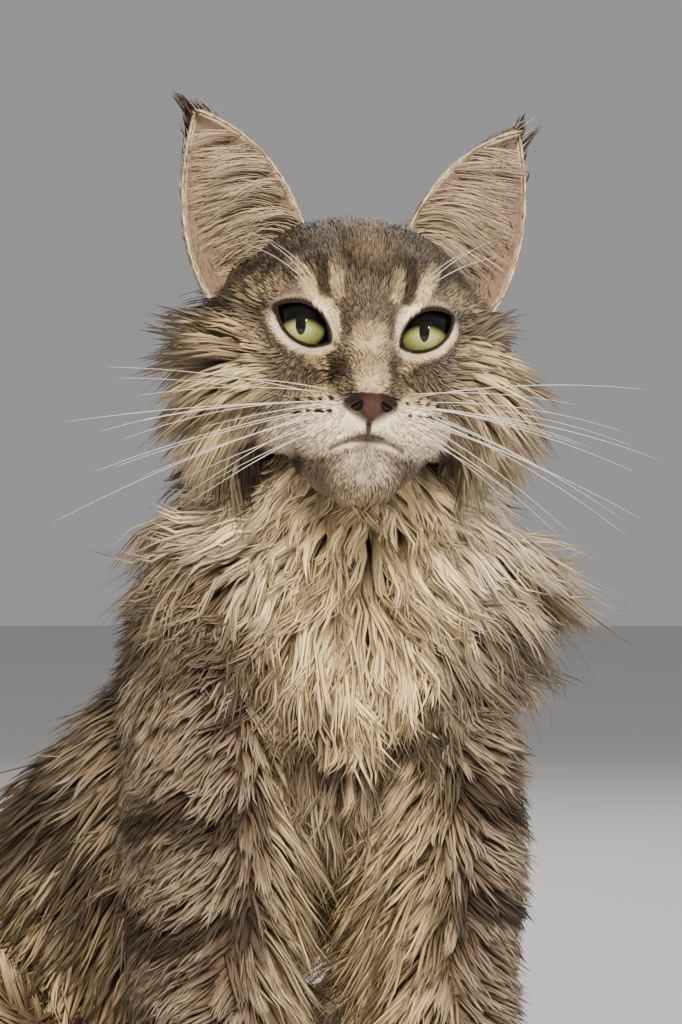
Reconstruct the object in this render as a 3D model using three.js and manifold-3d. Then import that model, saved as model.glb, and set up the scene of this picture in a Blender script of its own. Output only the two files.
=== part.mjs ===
// A life-size model of a sitting Maine Coon cat.
// Millimetres, +Z up. The cat faces -Y with its left side towards +X, and sits on the floor at Z = 0.
// Its head turns a little to its right, its hips lie a little to its right, and its tail curls round that side.
// Every limb is a round form stretched along a curve, with flat tapered locks of the coat rooted in it.

import * as THREE from "three";
import { mergeVertices } from "three/addons/utils/BufferGeometryUtils.js";
import Module from "manifold-3d";

const wasm = await Module();
wasm.setup();

// Driving dimensions

const GAP = 0.35; // between two nodes that touch
const CORE_SHARE = 0.4; // how far a limb's solid core reaches into the coat's depth
const HEAD_CENTRE = [-12, -105, 402];
const HEAD_TURN = -16; // degrees about the vertical, to the cat's right
const HEAD_NOD = 3; // degrees, chin up
const HEAD_TILT = 3; // degrees, towards the cat's left shoulder
const EYE_RADIUS = 11;
const EYE_PLACE = [22, -33, 1]; // from the head's centre, on the left side
const LID_THICKNESS = 1.8;
const HIP_CENTRE = [-60, 150];
const HIP_TURN = 16; // degrees that the hips are turned about the vertical
const TAIL_CUTS = [0.34, 0.67]; // where the tail is divided, as shares of its length

// Small helpers

const { degToRad, lerp } = THREE.MathUtils;
const DOWN = new THREE.Vector3(0, 0, -1);
const vector = (list) => new THREE.Vector3(...list);
const mirrored = ([x, y, z], side) => new THREE.Vector3(x * side, y, z);

let seed = 7;
// A repeatable random number from low to high.
function random(low, high) {
  seed = (seed * 16807) % 2147483647;
  return low + ((high - low) * seed) / 2147483647;
}

// A closed geometry as a solid that can be joined and cut.
function solidOf(geometry) {
  const bare = geometry.clone();
  bare.deleteAttribute("normal");
  bare.deleteAttribute("uv");
  const merged = mergeVertices(bare, 1e-3);
  const mesh = new wasm.Mesh({
    numProp: 3,
    vertProperties: new Float32Array(merged.attributes.position.array),
    triVerts: new Uint32Array(merged.index.array),
  });
  return new wasm.Manifold(mesh);
}

const joined = (solids) => solids.reduce((all, one) => all.add(one));

// The largest closed surface of a solid: a sealed hollow is filled and a loose scrap is dropped.
const largest = (body) => body.decompose().sort((a, b) => b.volume() - a.volume())[0];

// A geometry whose vertices are moved by a function of their place.
function reshaped(geometry, place) {
  const positions = geometry.attributes.position;
  const point = new THREE.Vector3();
  for (let i = 0; i < positions.count; i++) {
    point.fromBufferAttribute(positions, i);
    positions.setXYZ(i, ...place(point).toArray());
  }
  return geometry;
}

// Limbs: a ball stretched along a curve through stations of centre, half width, half depth and coat depth

const RIM = 0.08; // where a rounded end's first ring lies, as a share of the rounded length

class Limb {
  // The caps are the shares of its length over which its two ends are rounded; an end without one is flat.
  constructor(stations, { side = [1, 0, 0], around = 14, along = 12, caps = [0.12, 0.12], lie = 1 }) {
    this.path = new THREE.CatmullRomCurve3(stations.map((s) => vector(s.slice(0, 3))));
    this.sizes = new THREE.CatmullRomCurve3(stations.map((s) => vector(s.slice(3, 6))));
    Object.assign(this, { side: vector(side), around, along, caps, lie });
  }

  // The centre, the run of the limb, its sideways and deep directions, and its sizes at a share of its length
  frame(t) {
    const run = this.path.getTangent(t);
    const wide = this.side.clone().addScaledVector(run, -this.side.dot(run)).normalize();
    const deep = run.clone().cross(wide).normalize();
    const [halfWidth, halfDepth, coat] = this.sizes.getPoint(t).toArray();
    return { centre: this.path.getPoint(t), run, wide, deep, halfWidth, halfDepth, coat };
  }

  // A place on the core's surface, its outward direction and the lie of the coat there
  surface(t, angle, grow = 0) {
    const f = this.frame(t);
    const toEnd = t < 0.5 ? t : 1 - t;
    const cap = this.caps[t < 0.5 ? 0 : 1];
    const closing = cap > 0 ? Math.max(0, 1 - toEnd / cap) : 0;
    const swell = Math.sqrt(Math.max(0, 1 - closing * closing));
    const thick = f.coat * CORE_SHARE + grow;
    const across = f.wide.clone().multiplyScalar(Math.cos(angle));
    const through = f.deep.clone().multiplyScalar(Math.sin(angle));
    const point = f.centre
      .addScaledVector(across, (f.halfWidth + thick) * swell)
      .addScaledVector(through, (f.halfDepth + thick) * swell);
    const outward = across.divideScalar(f.halfWidth).addScaledVector(through, 1 / f.halfDepth).normalize();
    return { point, outward, run: f.run, lie: f.run.clone().multiplyScalar(this.lie), coat: f.coat };
  }

  core(grow = 0) {
    const ball = new THREE.SphereGeometry(1, this.around, this.along);
    const rims = this.caps.map((cap) => cap * RIM);
    const stretched = reshaped(ball, ({ x, y, z }) => {
      const ring = Math.round((Math.acos(THREE.MathUtils.clamp(y, -1, 1)) / Math.PI) * this.along);
      if (ring === 0 || ring === this.along) {
        const { centre, run } = this.frame(ring / this.along);
        return centre.addScaledVector(run, ring ? grow : -grow);
      }
      const t = lerp(rims[0], 1 - rims[1], (ring - 1) / (this.along - 2));
      const { point, run } = this.surface(t, Math.atan2(z, x), grow);
      const atEnd = ring === 1 ? -grow : ring === this.along - 1 ? grow : 0;
      return point.addScaledVector(run, atEnd);
    });
    return solidOf(stretched);
  }
}

// Locks: a flat cone with a ridge along its back, bent along the lie of the coat

const LOCK_SIDES = 3;
const LOCK_STEPS = 3;
const LOCK_OUTLINE = [0.4, 1, 0.7, 0]; // half width at each step from root to tip, as a share of the widest

function lock({ root, outward, lie, length, width, thick, lift = 0.5, droop = 0.15, sunk = 7 }, grow = 0) {
  const stride = length / LOCK_STEPS;
  const flow = lie.clone().normalize();
  const heading = flow.clone().addScaledVector(outward, lift).normalize();
  const spine = [root.clone().addScaledVector(outward, -sunk)];
  const frames = [];
  for (let step = 0; step <= LOCK_STEPS; step++) {
    const across = heading.clone().cross(outward).normalize();
    frames.push({ across, raised: across.clone().cross(heading).normalize() });
    spine.push(spine[step].clone().addScaledVector(heading, step ? stride : stride + sunk));
    heading.addScaledVector(flow, 0.35).addScaledVector(DOWN, droop).normalize();
  }
  const cone = new THREE.ConeGeometry(1, 1, LOCK_SIDES, LOCK_STEPS);
  return reshaped(cone, ({ x, y, z }) => {
    const share = (y + 0.5) * LOCK_STEPS;
    const step = Math.round(share);
    const angle = Math.atan2(x, z);
    const onAxis = Math.hypot(x, z) < 1e-6;
    const spread = LOCK_OUTLINE[step] * (onAxis ? 0 : 1);
    const { across, raised } = frames[step];
    const reach = onAxis ? 0 : grow;
    const end = step === LOCK_STEPS ? grow * 4 : step === 0 ? -grow : 0;
    return spine[step]
      .clone()
      .addScaledVector(across, Math.sin(angle) * ((width / 2) * spread + reach * 3))
      .addScaledVector(raised, Math.cos(angle) * ((thick / 2) * spread + reach * 2))
      .addScaledVector(raised.clone().cross(across), end);
  });
}

// Staggered rows of locks over a patch of a limb, from one share of its length and one angle to another
function rowsOfLocks(limb, patch) {
  const { from, to, rows, start, end, across, length, width, thick = 5, pull = [0, 0, 0], ...shape } = patch;
  const locks = [];
  for (let row = 0; row < rows; row++) {
    for (let column = 0; column < across; column++) {
      const t = lerp(from, to, rows > 1 ? row / (rows - 1) : 0.5) + random(-0.012, 0.012);
      const place = (column + 0.25 + 0.5 * (row % 2) + random(-0.12, 0.12)) / across;
      const { point, outward, lie } = limb.surface(t, degToRad(lerp(start, end, place)));
      const size = random(0.88, 1.12);
      locks.push({
        root: point,
        outward,
        lie: lie.add(vector(pull)).add(vector([random(-0.15, 0.15), random(-0.15, 0.15), 0])),
        length: length * size,
        width: width * random(0.9, 1.1),
        thick,
        ...shape,
      });
    }
  }
  return locks;
}

// The trunk and neck

const torso = new Limb(
  [
    [-66, 188, 56, 44, 42, 28],
    [-62, 170, 94, 57, 54, 30],
    [-50, 132, 136, 58, 57, 30],
    [-32, 88, 178, 56, 56, 28],
    [-14, 38, 220, 53, 56, 26],
    [0, -12, 260, 47, 51, 26],
    [0, -44, 296, 38, 40, 24],
  ],
  { around: 16, along: 10, lie: -1 },
);
const neck = new Limb(
  [
    [6, -36, 268, 44, 44, 34],
    [6, -46, 310, 47, 44, 42],
    [1, -62, 350, 41, 42, 36],
    [-8, -86, 390, 29, 32, 20],
  ],
  { around: 16, along: 7, caps: [0.12, 0.2], lie: -1 },
);

// Legs

const CHEST_MIDDLE = -2;

const foreleg = (side) =>
  new Limb(
    [
      [CHEST_MIDDLE + 34 * side, -16, 316, 18, 26, 22],
      [CHEST_MIDDLE + 46 * side, -40, 272, 22, 36, 20],
      [CHEST_MIDDLE + 50 * side, -52, 222, 22, 35, 20],
      [CHEST_MIDDLE + 50 * side, -54, 170, 20, 29, 19],
      [CHEST_MIDDLE + 48 * side, -64, 116, 17, 21, 16],
      [CHEST_MIDDLE + 46 * side, -78, 62, 15, 17, 11],
      [CHEST_MIDDLE + 45 * side, -88, 22, 15.5, 17, 8],
    ],
    { around: 10, along: 9, caps: [0.1, 0.04] },
  );

// A place given from the hips, which are turned about the vertical
function fromHips([x, y, z, ...sizes]) {
  const turn = degToRad(HIP_TURN);
  return [
    HIP_CENTRE[0] + x * Math.cos(turn) - y * Math.sin(turn),
    HIP_CENTRE[1] + x * Math.sin(turn) + y * Math.cos(turn),
    z,
    ...sizes,
  ];
}
const HIP_SIDE = [Math.cos(degToRad(HIP_TURN)), Math.sin(degToRad(HIP_TURN)), 0];
const haunch = (side) =>
  new Limb(
    [
      [42 * side, 42, 76, 24, 46, 30],
      [56 * side, 4, 90, 31, 62, 28],
      [64 * side, -40, 92, 32, 64, 26],
      [66 * side, -80, 84, 28, 55, 24],
      [63 * side, -112, 70, 21, 38, 20],
    ].map(fromHips),
    { side: HIP_SIDE, around: 12, along: 8, caps: [0.2, 0.2] },
  );

const SOLE = 3; // how far a paw's round form dips below the floor before its sole is cut flat

const forepaw = (side) => new Limb(
  [
    [CHEST_MIDDLE + 45 * side, -84, 24, 16, 17, 7],
    [CHEST_MIDDLE + 45 * side, -102, 18, 19, 17, 6],
    [CHEST_MIDDLE + 45 * side, -120, 14.5 - SOLE, 20, 13, 5],
    [CHEST_MIDDLE + 45 * side, -136, 12.5 - SOLE, 16, 10, 4],
  ],
  { around: 10, along: 6, caps: [0.2, 0.25] },
);
const hindpaw = (side) =>
  new Limb(
    [
      [54 * side, 6, 24, 13, 17, 8],
      [56 * side, -40, 17, 13, 15, 7],
      [57 * side, -92, 15 - SOLE, 16, 13, 6],
      [58 * side, -124, 14 - SOLE, 18.5, 13, 4],
      [58 * side, -144, 12.5 - SOLE, 14, 10, 3],
    ].map(fromHips),
    { side: HIP_SIDE, around: 10, along: 7, caps: [0.12, 0.14] },
  );

// Four toes across the front of a paw
function toes(centre, heading, halfWidth) {
  const side = vector([-heading[1], heading[0], 0]);
  const balls = [-1.5, -0.5, 0.5, 1.5].map((place) => {
    const middle = vector(centre)
      .addScaledVector(side, place * halfWidth * 0.52)
      .addScaledVector(vector(heading), place ** 2 * -2.6);
    const ball = new THREE.SphereGeometry(1, 6, 4);
    return reshaped(ball, (p) => {
      const out = middle.clone();
      out.addScaledVector(side, p.x * halfWidth * 0.34);
      out.addScaledVector(vector(heading), p.z * 12);
      return out.addScaledVector(DOWN, -p.y * 9.5);
    });
  });
  return joined(balls.map(solidOf));
}

// The tail, along the floor round the cat's right side

const TAIL_STATIONS = [
  [-72, 200, 66, 16, 16, 30],
  [-110, 238, 46, 12, 11, 44],
  [-178, 232, 38, 11, 10, 52],
  [-218, 172, 36, 10, 9, 54],
  [-222, 96, 35, 9, 8, 52],
  [-202, 24, 34, 8, 7, 46],
  [-166, -30, 28, 5, 5, 30],
];
const wholeTail = new Limb(TAIL_STATIONS, { side: [0, 0, 1] });

// A length of the tail, from one share of the whole to another
function tailLength(from, to, caps) {
  const count = 5;
  const stations = Array.from({ length: count }, (_, i) => {
    const t = lerp(from, to, i / (count - 1));
    const { centre, halfWidth, halfDepth, coat } = wholeTail.frame(t);
    return [...centre.toArray(), halfDepth, halfWidth, coat];
  });
  return new Limb(stations, { side: [0, 0, 1], around: 10, along: 7, caps });
}

// The head: one skin drawn over a few rounded masses

const skull = [
  { at: [0, 6, 8], size: [44, 48, 38], blend: 0 },
  { at: [27, -6, -18], size: [24, 28, 24], blend: 14, paired: true }, // cheeks
  { at: [16, -28, 13], size: [15, 14, 11], blend: 12, paired: true }, // brows
  { at: [0, -36, -4], size: [13, 24, 18], blend: 12 }, // bridge of the nose
  { at: [0, -57, -23], size: [10.5, 17, 12], blend: 8 }, // nose
  { at: [13.5, -56, -35], size: [16, 16, 11.5], blend: 6, paired: true }, // whisker pads
  { at: [0, -34, -40], size: [25, 30, 18], blend: 10 }, // jaw
  { at: [0, -55, -52], size: [13, 13, 9.5], blend: 5 }, // chin
];
const HEAD_MIDDLE = [0, -12, -14]; // from which every point of the head's skin can be seen
const HEAD_REACH = 110;

// A rounded mass's distance from a point, less than zero inside
function fromMass(point, at, size) {
  const p = point.map((c, i) => (c - at[i]) / size[i]);
  const steep = point.map((c, i) => (c - at[i]) / size[i] ** 2);
  const near = Math.hypot(...p);
  return (near * (near - 1)) / Math.max(Math.hypot(...steep), 1e-9);
}

// The lesser of two distances, rounded over where they are within blend of each other
function blended(a, b, blend) {
  if (blend <= 0) return Math.min(a, b);
  const share = Math.max(blend - Math.abs(a - b), 0) / blend;
  return Math.min(a, b) - (share * share * blend) / 4;
}

function fromHead(point) {
  let distance = HEAD_REACH;
  for (const { at, size, blend, paired } of skull) {
    distance = blended(distance, fromMass(point, at, size), blend);
    if (paired) distance = blended(distance, fromMass(point, [-at[0], at[1], at[2]], size), blend);
  }
  for (const side of [1, -1]) {
    const [x, y, z] = EYE_PLACE;
    const lid = Math.hypot(point[0] - x * side, point[1] - y, point[2] - z) - EYE_RADIUS - LID_THICKNESS;
    distance = blended(distance, lid, 5);
  }
  return distance;
}

// The head's skin in a direction from its middle, found by stepping inwards
function onHead(direction, grow = 0) {
  const aim = direction.clone().normalize();
  let reach = HEAD_REACH;
  for (let step = 0; step < 60; step++) {
    const here = vector(HEAD_MIDDLE).addScaledVector(aim, reach);
    reach -= Math.max(fromHead(here.toArray()) - grow, 0) * 0.7;
  }
  return vector(HEAD_MIDDLE).addScaledVector(aim, reach);
}

// The head's skin straight behind a point of its front view
function faceAt(x, z) {
  let depth = -HEAD_REACH;
  for (let step = 0; step < 60; step++) depth += Math.max(fromHead([x, depth, z]), 0) * 0.7;
  return new THREE.Vector3(x, depth, z);
}

const headPose = new THREE.Matrix4().compose(
  vector(HEAD_CENTRE),
  new THREE.Quaternion().setFromEuler(
    new THREE.Euler(degToRad(-HEAD_NOD), degToRad(HEAD_TILT), degToRad(HEAD_TURN), "ZXY"),
  ),
  new THREE.Vector3(1, 1, 1),
);
const posed = (geometry) => solidOf(geometry.applyMatrix4(headPose));

// The head's skin is finest round the nose, where its rings start.
const FACE_AIM = new THREE.Quaternion().setFromUnitVectors(
  new THREE.Vector3(0, 1, 0),
  new THREE.Vector3(0, -1, -0.3).normalize(),
);
const FACE_DETAIL = 1.5; // over 1 crowds the rings towards the nose

function headCore(grow = 0) {
  const ball = new THREE.SphereGeometry(1, 36, 26);
  return posed(
    reshaped(ball, ({ x, y, z }) => {
      const spread = Math.acos(THREE.MathUtils.clamp(y, -1, 1));
      const angle = Math.PI * (spread / Math.PI) ** FACE_DETAIL;
      const radial = new THREE.Vector3(x, 0, z).setLength(Math.sin(angle));
      return onHead(radial.setY(Math.cos(angle)).applyQuaternion(FACE_AIM), grow);
    }),
  );
}

// Eyes: the ball, and the almond opening between the lids

const eyeBall = (side, grow = 0) => {
  const ball = new THREE.SphereGeometry(EYE_RADIUS + grow, 14, 8);
  ball.rotateX(-Math.PI / 2);
  ball.translate(...mirrored(EYE_PLACE, side).toArray());
  return posed(ball);
};

const EYE_OPENING = { halfWidth: 10.7, above: 7, below: 6.8, slant: 32 };

function eyeOpening(side) {
  const { halfWidth, above, below, slant } = EYE_OPENING;
  const almond = new THREE.Shape();
  almond.moveTo(-halfWidth, 0);
  almond.bezierCurveTo(-halfWidth * 0.55, above * 1.3, halfWidth * 0.5, above * 1.3, halfWidth, 0);
  almond.bezierCurveTo(halfWidth * 0.5, -below * 1.3, -halfWidth * 0.5, -below * 1.3, -halfWidth, 0);
  const cut = new THREE.ExtrudeGeometry(almond, { depth: 30, bevelEnabled: false, curveSegments: 5 });
  cut.rotateZ(degToRad(slant) * side);
  cut.rotateX(Math.PI / 2);
  cut.translate(...mirrored(EYE_PLACE, side).toArray());
  return posed(cut);
}

// The line of the mouth, as a groove in the skin

function groove(points, radius) {
  const path = new THREE.CatmullRomCurve3(points.map(([x, z]) => faceAt(x, z)));
  const section = new THREE.Shape().absarc(0, 0, radius, 0, Math.PI * 2);
  const options = { steps: 6, extrudePath: path, curveSegments: 3, bevelEnabled: false };
  return posed(new THREE.ExtrudeGeometry(section, options));
}

function mouth() {
  const half = (side) => groove([[0, -42], [6 * side, -44], [13 * side, -47.5], [21 * side, -46]], 1.5);
  return joined([groove([[0, -35], [0, -39], [0, -42.5]], 1.3), half(1), half(-1)]);
}

// The nose leather, with its nostrils

function noseLeather(grow = 0) {
  const ball = new THREE.SphereGeometry(1, 12, 8);
  return posed(
    reshaped(ball, ({ x, y, z }) => {
      const narrowing = 0.4 + 0.6 * THREE.MathUtils.smoothstep(y, -1, 0.4);
      return new THREE.Vector3(x * narrowing * (10 + grow), -70.5 - z * (6 + grow), -30 + y * (5.4 + grow));
    }),
  );
}
function nostrils() {
  const pit = (side) => {
    const ball = new THREE.SphereGeometry(1, 8, 6);
    ball.scale(2.6, 3.2, 1.7);
    ball.rotateY(degToRad(-28 * side));
    ball.translate(5.2 * side, -76, -30.5);
    return posed(ball);
  };
  return joined([pit(1), pit(-1)]);
}

// Ears: a cupped shell between an inner and an outer edge, with its hair

const EAR = {
  inner: [[16, 32], [27, 74], [60, 84]], // the edge towards the crown, from the front
  outer: [[45, 4], [72, 34], [61, 84]],
  cup: 17, // how deep the shell is hollowed at its base
  setBack: 4,
  leanBack: 6,
  thickness: 2.6,
};
const earEdge = (points) => new THREE.QuadraticBezierCurve(...points.map((p) => new THREE.Vector2(...p)));
const innerEdge = earEdge(EAR.inner);
const outerEdge = earEdge(EAR.outer);

// A place in the ear's shell: across from -1 at the inner edge to 1, up from 0 to 1, and from front 0 to back 1
function earPoint(across, up, back, side) {
  const a = innerEdge.getPoint(up);
  const b = outerEdge.getPoint(up);
  const hollow = EAR.cup * (1 - up * 0.75) * (1 - across ** 2);
  const share = (across + 1) / 2;
  const depth = EAR.setBack + hollow + EAR.leanBack * up + share * 7 + back * EAR.thickness * (1 - 0.4 * up);
  return new THREE.Vector3(lerp(a.x, b.x, share) * side, depth, lerp(a.y, b.y, share));
}
function earShell(side) {
  const slab = new THREE.BoxGeometry(2, 1, 1, 7, 7, 1);
  reshaped(slab, ({ x, y, z }) => earPoint(x, y + 0.5, side > 0 ? 0.5 - z : 0.5 + z, side));
  return posed(slab);
}

// A direction or place in the head's own frame, in the cat's
const headPlace = (point) => point.clone().applyMatrix4(headPose);
const headDirection = (direction) => direction.clone().transformDirection(headPose);

function earLocks(side) {
  const locks = [];
  for (let i = 0; i < 4; i++) {
    const spread = (i - 1.5) / 1.5;
    locks.push({
      root: headPlace(earPoint(spread * 0.6, 0.94, 0.5, side)),
      outward: headDirection(new THREE.Vector3(0, -1, 0.3)),
      lie: headDirection(new THREE.Vector3((0.3 + spread * 0.34) * side, 0.16, 1)),
      length: 23 - 5 * Math.abs(spread),
      width: 4.6,
      thick: 2.4,
      lift: 0.1,
      droop: 0,
      sunk: 2,
    });
  }
  for (let i = 0; i < 5; i++) {
    const up = 0.16 + 0.12 * i;
    locks.push({
      root: headPlace(earPoint(-0.72, up, 0.3, side)),
      outward: headDirection(new THREE.Vector3(0, -1, 0)),
      lie: headDirection(new THREE.Vector3(side, 0.1, 0.16)),
      length: 31 - 3 * i,
      width: 7,
      thick: 2.6,
      lift: 0.42,
      droop: 0,
      sunk: 2.2,
    });
  }
  return locks;
}

// The coat's locks on the head: the cheek ruffs, combed back and down
function cheekLocks() {
  const locks = [];
  for (const side of [1, -1]) {
    for (let row = 0; row < 3; row++) {
      for (let i = 0; i < 5; i++) {
        const height = lerp(26, -40, i / 4) + row * 5 - 4;
        const aim = new THREE.Vector3((46 - row * 2) * side, -22 + row * 18, height);
        const root = onHead(aim);
        const outward = root.clone().sub(vector(HEAD_MIDDLE)).normalize();
        locks.push({
          root: headPlace(root),
          outward: headDirection(outward),
          lie: headDirection(new THREE.Vector3(0.75 * side, 0.55, -0.15 - i * 0.2)),
          length: lerp(26, 42, i / 4) * random(0.9, 1.1),
          width: 19,
          thick: 6,
          lift: 0.35,
          droop: 0.12,
          sunk: 5,
        });
      }
    }
  }
  return locks;
}

// The ruff round the neck and the bib below it
const ruffLocks = () => [
  ...rowsOfLocks(neck, {
    from: 0.9, to: 0.66, rows: 2, start: 150, end: 390, across: 9,
    length: 52, width: 34, thick: 9, lift: 0.85, droop: 0.1,
  }),
  ...rowsOfLocks(neck, {
    from: 0.5, to: 0.3, rows: 2, start: 150, end: 390, across: 9,
    length: 68, width: 36, thick: 10, lift: 0.95, droop: 0.1,
  }),
  ...rowsOfLocks(neck, {
    from: 0.8, to: 0.4, rows: 2, start: 35, end: 145, across: 3,
    length: 60, width: 44, lift: 0.4,
  }),
];
const torsoLocks = () => [
  ...rowsOfLocks(torso, {
    from: 0.84, to: 0.66, rows: 2, start: 235, end: 305, across: 3,
    length: 74, width: 34, thick: 9, lift: 0.6, droop: 0.3, pull: [0, -0.3, -0.6],
  }),
  ...rowsOfLocks(torso, {
    from: 0.84, to: 0.1, rows: 5, start: -50, end: 230, across: 7,
    length: 76, width: 52, thick: 9, lift: 0.32, droop: 0.15,
  }),
];
const forelegLocks = (limb, side) =>
  rowsOfLocks(limb, {
    from: 0.18, to: 0.78, rows: 4, start: side > 0 ? -60 : 20, end: side > 0 ? 160 : 240, across: 4,
    length: 56, width: 32, thick: 8, lift: 0.4, droop: 0.12,
  });
const haunchLocks = (limb, side) =>
  rowsOfLocks(limb, {
    from: 0.16, to: 0.86, rows: 4, start: side > 0 ? -30 : 95, end: side > 0 ? 85 : 210, across: 3,
    length: 58, width: 42, thick: 9, lift: 0.6, droop: 0.2, pull: [HIP_SIDE[1] * -1.6, HIP_SIDE[0] * 1.6, -0.5],
  });
const tailLocks = (limb, rows) =>
  rowsOfLocks(limb, {
    from: 0.08, to: 0.9, rows, start: -100, end: 100, across: 4,
    length: 60, width: 32, thick: 8, lift: 0.5, droop: 0.05,
  });

// Nodes: which solid gives way to which, and the parts that each is made of

const limbs = {
  foreleg_left: foreleg(1),
  foreleg_right: foreleg(-1),
  haunch_left: haunch(1),
  haunch_right: haunch(-1),
  forepaw_left: forepaw(1),
  forepaw_right: forepaw(-1),
  hindpaw_left: hindpaw(1),
  hindpaw_right: hindpaw(-1),
  tail_base: tailLength(0, TAIL_CUTS[0], [0.2, 0]),
  tail_middle: tailLength(TAIL_CUTS[0], TAIL_CUTS[1], [0, 0]),
  tail_tip: tailLength(TAIL_CUTS[1], 1, [0, 0.3]),
};

const hipHeading = [Math.sin(degToRad(HIP_TURN)), -Math.cos(degToRad(HIP_TURN)), 0];
const pawToes = {
  forepaw_left: () => toes([CHEST_MIDDLE + 45, -134, 9], [0, -1, 0], 21),
  forepaw_right: () => toes([CHEST_MIDDLE - 45, -134, 9], [0, -1, 0], 21),
  hindpaw_left: () => toes(fromHips([58, -140, 9]), hipHeading, 20),
  hindpaw_right: () => toes(fromHips([-58, -140, 9]), hipHeading, 20),
};

const limbNode = (name, locks = []) => ({
  name,
  core: (grow) => (pawToes[name] ? limbs[name].core(grow).add(pawToes[name]()) : limbs[name].core(grow)),
  locks,
});

// Earlier cores keep their shape and later ones are cut clear of them.
const parts = [
  { name: "eye_left", core: (grow) => eyeBall(1, grow), locks: [] },
  { name: "eye_right", core: (grow) => eyeBall(-1, grow), locks: [] },
  { name: "nose", core: (grow) => (grow ? noseLeather(grow) : noseLeather().subtract(nostrils())), locks: [] },
  { name: "torso", core: (grow) => torso.core(grow), locks: torsoLocks() },
  { name: "neck", core: (grow) => neck.core(grow), locks: ruffLocks() },
  { name: "head", core: headCore, locks: cheekLocks() },
  { name: "ear_left", core: () => earShell(1), locks: earLocks(1) },
  { name: "ear_right", core: () => earShell(-1), locks: earLocks(-1) },
  limbNode("foreleg_left", forelegLocks(limbs.foreleg_left, 1)),
  limbNode("foreleg_right", forelegLocks(limbs.foreleg_right, -1)),
  limbNode("haunch_left", haunchLocks(limbs.haunch_left, 1)),
  limbNode("haunch_right", haunchLocks(limbs.haunch_right, -1)),
  limbNode("forepaw_left"),
  limbNode("forepaw_right"),
  limbNode("hindpaw_left"),
  limbNode("hindpaw_right"),
  limbNode("tail_base", tailLocks(limbs.tail_base, 3)),
  limbNode("tail_middle", tailLocks(limbs.tail_middle, 3)),
  limbNode("tail_tip", tailLocks(limbs.tail_tip, 3)),
];
// The locks of a node named earlier here lie over those of a later one.
const LOCK_ORDER = [
  "ear_left", "ear_right", "head", "neck", "foreleg_left", "foreleg_right", "torso",
  "haunch_left", "haunch_right", "tail_base", "tail_middle", "tail_tip",
];

for (const part of parts) {
  part.body = part.core(0);
  part.clear = part.core(GAP);
  part.order = LOCK_ORDER.indexOf(part.name);
  if (!part.locks.length) continue;
  part.hair = joined(part.locks.map((shape) => solidOf(lock(shape))));
  part.hairClear = joined(part.locks.map((shape) => solidOf(lock(shape, GAP))));
}

const floor = solidOf(new THREE.BoxGeometry(2000, 2000, 400).translate(0, 0, -200));

function finished(part, index) {
  let body = part.body;
  parts.slice(0, index).forEach((other) => (body = body.subtract(other.clear)));
  if (part.name === "head") body = body.subtract(eyeOpening(1)).subtract(eyeOpening(-1)).subtract(mouth());
  body = largest(body.subtract(floor));
  if (!part.hair) return body;
  let hair = part.hair;
  for (const other of parts) {
    if (other === part) continue;
    hair = hair.subtract(other.clear);
    if (other.hair && other.order < part.order) hair = hair.subtract(other.hairClear);
  }
  return largest(body.add(hair.subtract(floor)));
}

// Colours of the coat, eyes and nose

const finishes = {
  coat: new THREE.MeshStandardMaterial({ color: 0x8f8171, roughness: 0.85, metalness: 0 }),
  ruff: new THREE.MeshStandardMaterial({ color: 0xcdbd98, roughness: 0.85, metalness: 0 }),
  ear: new THREE.MeshStandardMaterial({ color: 0xb29c86, roughness: 0.8, metalness: 0 }),
  eye: new THREE.MeshStandardMaterial({ color: 0xa3ad55, roughness: 0.08, metalness: 0 }),
  nose: new THREE.MeshStandardMaterial({ color: 0x8f5144, roughness: 0.5, metalness: 0 }),
};
const finishOf = (name) => finishes[name.split("_")[0]] ?? (name === "neck" ? finishes.ruff : finishes.coat);

function geometryOf(solid) {
  const { numProp, numVert, vertProperties, triVerts } = solid.getMesh();
  const places = new Float32Array(numVert * 3);
  for (let i = 0; i < numVert; i++) places.set(vertProperties.subarray(i * numProp, i * numProp + 3), i * 3);
  const geometry = new THREE.BufferGeometry();
  geometry.setAttribute("position", new THREE.BufferAttribute(places, 3));
  geometry.setIndex(new THREE.BufferAttribute(new Uint32Array(triVerts), 1));
  return geometry;
}

// The cat, with the head's pieces in a group that holds the head's pose

const cat = new THREE.Group();
const headGroup = new THREE.Group();
headGroup.applyMatrix4(headPose);
const HEAD_NODES = ["eye_left", "eye_right", "nose", "head", "ear_left", "ear_right"];

parts.forEach((part, index) => {
  const geometry = geometryOf(finished(part, index));
  const onHeadGroup = HEAD_NODES.includes(part.name);
  if (onHeadGroup) geometry.applyMatrix4(headPose.clone().invert());
  geometry.computeVertexNormals();
  const mesh = new THREE.Mesh(geometry, finishOf(part.name));
  mesh.name = part.name;
  (onHeadGroup ? headGroup : cat).add(mesh);
});
cat.add(headGroup);

// The origin is on the floor, under the middle of the whole cat.
const whole = new THREE.Box3().setFromObject(cat, true);
const middle = whole.getCenter(new THREE.Vector3());
cat.position.set(-middle.x, -middle.y, 0);

export default cat;
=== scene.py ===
"""A life-size sitting Maine Coon cat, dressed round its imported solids.

The forms are worked out in the cat's own millimetres, where it faces -Y and its left side is towards +X, and are
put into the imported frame, in metres, when a mesh is made. One skin stands for all the flesh, and the coat is
rooted in it as closed, tapered tufts that gather into locks.
"""

import logging
import math
from contextlib import contextmanager
from dataclasses import dataclass, field
from enum import Enum
from typing import Callable, Iterator, Optional, Sequence

import bpy
import numpy as np
from mathutils import Matrix, Vector
from mathutils.bvhtree import BVHTree
from mathutils.interpolate import poly_3d_calc
from mathutils.kdtree import KDTree

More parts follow.
